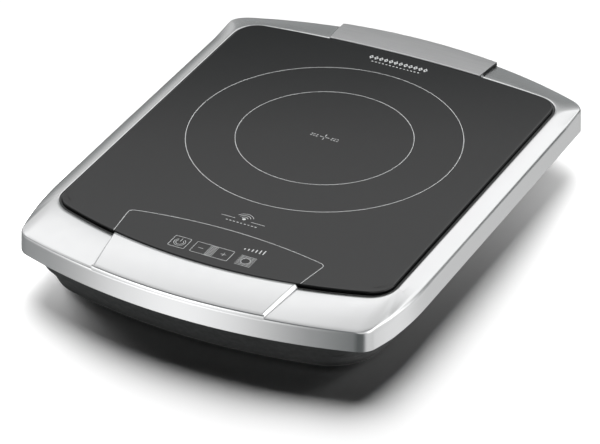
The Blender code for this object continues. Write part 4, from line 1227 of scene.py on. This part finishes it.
def studio_world():
    """Walls seen in the gloss of the casing; they don't light the floor, and the camera sees plain white."""
    world = bpy.data.worlds.new("studio_walls")
    world.use_nodes = True
    bpy.context.scene.world = world
    tree = Nodes(world.node_tree)
    split = tree.nodes.new("ShaderNodeSeparateXYZ")
    tree.links.new(tree.nodes.new("ShaderNodeTexCoord").outputs["Generated"], split.inputs["Vector"])
    brightness = wall_brightness(tree, *split.outputs)
    cast = tree.spread(brightness, 0.0, GREEN_BELOW, RED_IN_DARK, 1.0)
    colour = tree.nodes.new("ShaderNodeCombineColor")
    tree.links.new(tree.maths("MULTIPLY", brightness, cast), colour.inputs["Red"])
    for channel in ("Green", "Blue"):
        tree.links.new(brightness, colour.inputs[channel])
    shown = tree.nodes.new("ShaderNodeMix")
    shown.data_type = "RGBA"
    factor, under, over = shown.inputs[0], shown.inputs[6], shown.inputs[7]
    tree.links.new(tree.nodes.new("ShaderNodeLightPath").outputs["Is Camera Ray"], factor)
    tree.links.new(colour.outputs["Color"], under)
    over.default_value = (1.0, 1.0, 1.0, 1.0)
    tree.links.new(shown.outputs[2], tree.nodes["Background"].inputs["Color"])
    world.cycles_visibility.diffuse = False


def shine_from(light, source):
    """Turn a light so that it shines from a direction."""
    light.rotation_euler = Vector(source).to_track_quat("Z", "Y").to_euler()


# the key light, behind on the left
KEY_STRENGTH = 4.9
KEY_ANGLE = 45.0
KEY_FROM = (-0.40, 0.66, 1.0)
# small lights close to the floor: power in watts, place, and the point each looks at
FILL_SIZE = 0.10
LEFT_FILL = (0.75, (-0.28, -0.09, 0.048), (-0.13, -0.19, 0.0))
RIGHT_FILL = (0.42, (0.30, 0.20, 0.06), (0.165, 0.14, 0.0))


def add_light(name, kind, energy):
    """A light that is not seen in the gloss of the casing."""
    data = bpy.data.lights.new(name, kind)
    data.energy = energy
    light = add_object(name, data)
    light.visible_glossy = False
    return light


def studio_lights():
    """A broad light from behind on the left, and two small ones close to the floor at the casing's sides."""
    key = add_light("key", "SUN", KEY_STRENGTH)
    key.data.angle = math.radians(KEY_ANGLE)
    shine_from(key, KEY_FROM)
    for name, (energy, spot, target) in (("left_fill", LEFT_FILL), ("right_fill", RIGHT_FILL)):
        fill = add_light(name, "AREA", energy)
        fill.data.size = FILL_SIZE
        fill.location = spot
        shine_from(fill, Vector(spot) - Vector(target))
        fill.visible_camera = False


CAMERA_PLACE = (1.04888, -2.03323, 1.46559)
CAMERA_TURN = (57.2954, -0.0370, 27.4082)  # degrees about X, Y and Z
CAMERA_LENS = 205.85
CAMERA_SENSOR = 36.0


def studio_camera():
    data = bpy.data.cameras.new("camera")
    data.sensor_width = CAMERA_SENSOR
    data.lens = CAMERA_LENS
    data.clip_end = 60.0
    camera = add_object("camera", data)
    camera.location = CAMERA_PLACE
    camera.rotation_euler = [math.radians(angle) for angle in CAMERA_TURN]
    bpy.context.scene.camera = camera


# ---- build --------------------------------------------------------------------------------------
dress_cad_nodes()
frame_shell()
panels()
glass_plate()
seal()
base_shell()
feet()
casing_screws()
cord_gland()
printed_marks()
studio_floor()
studio_world()
studio_lights()
studio_camera()
bpy.context.scene.view_settings.view_transform = "Standard"
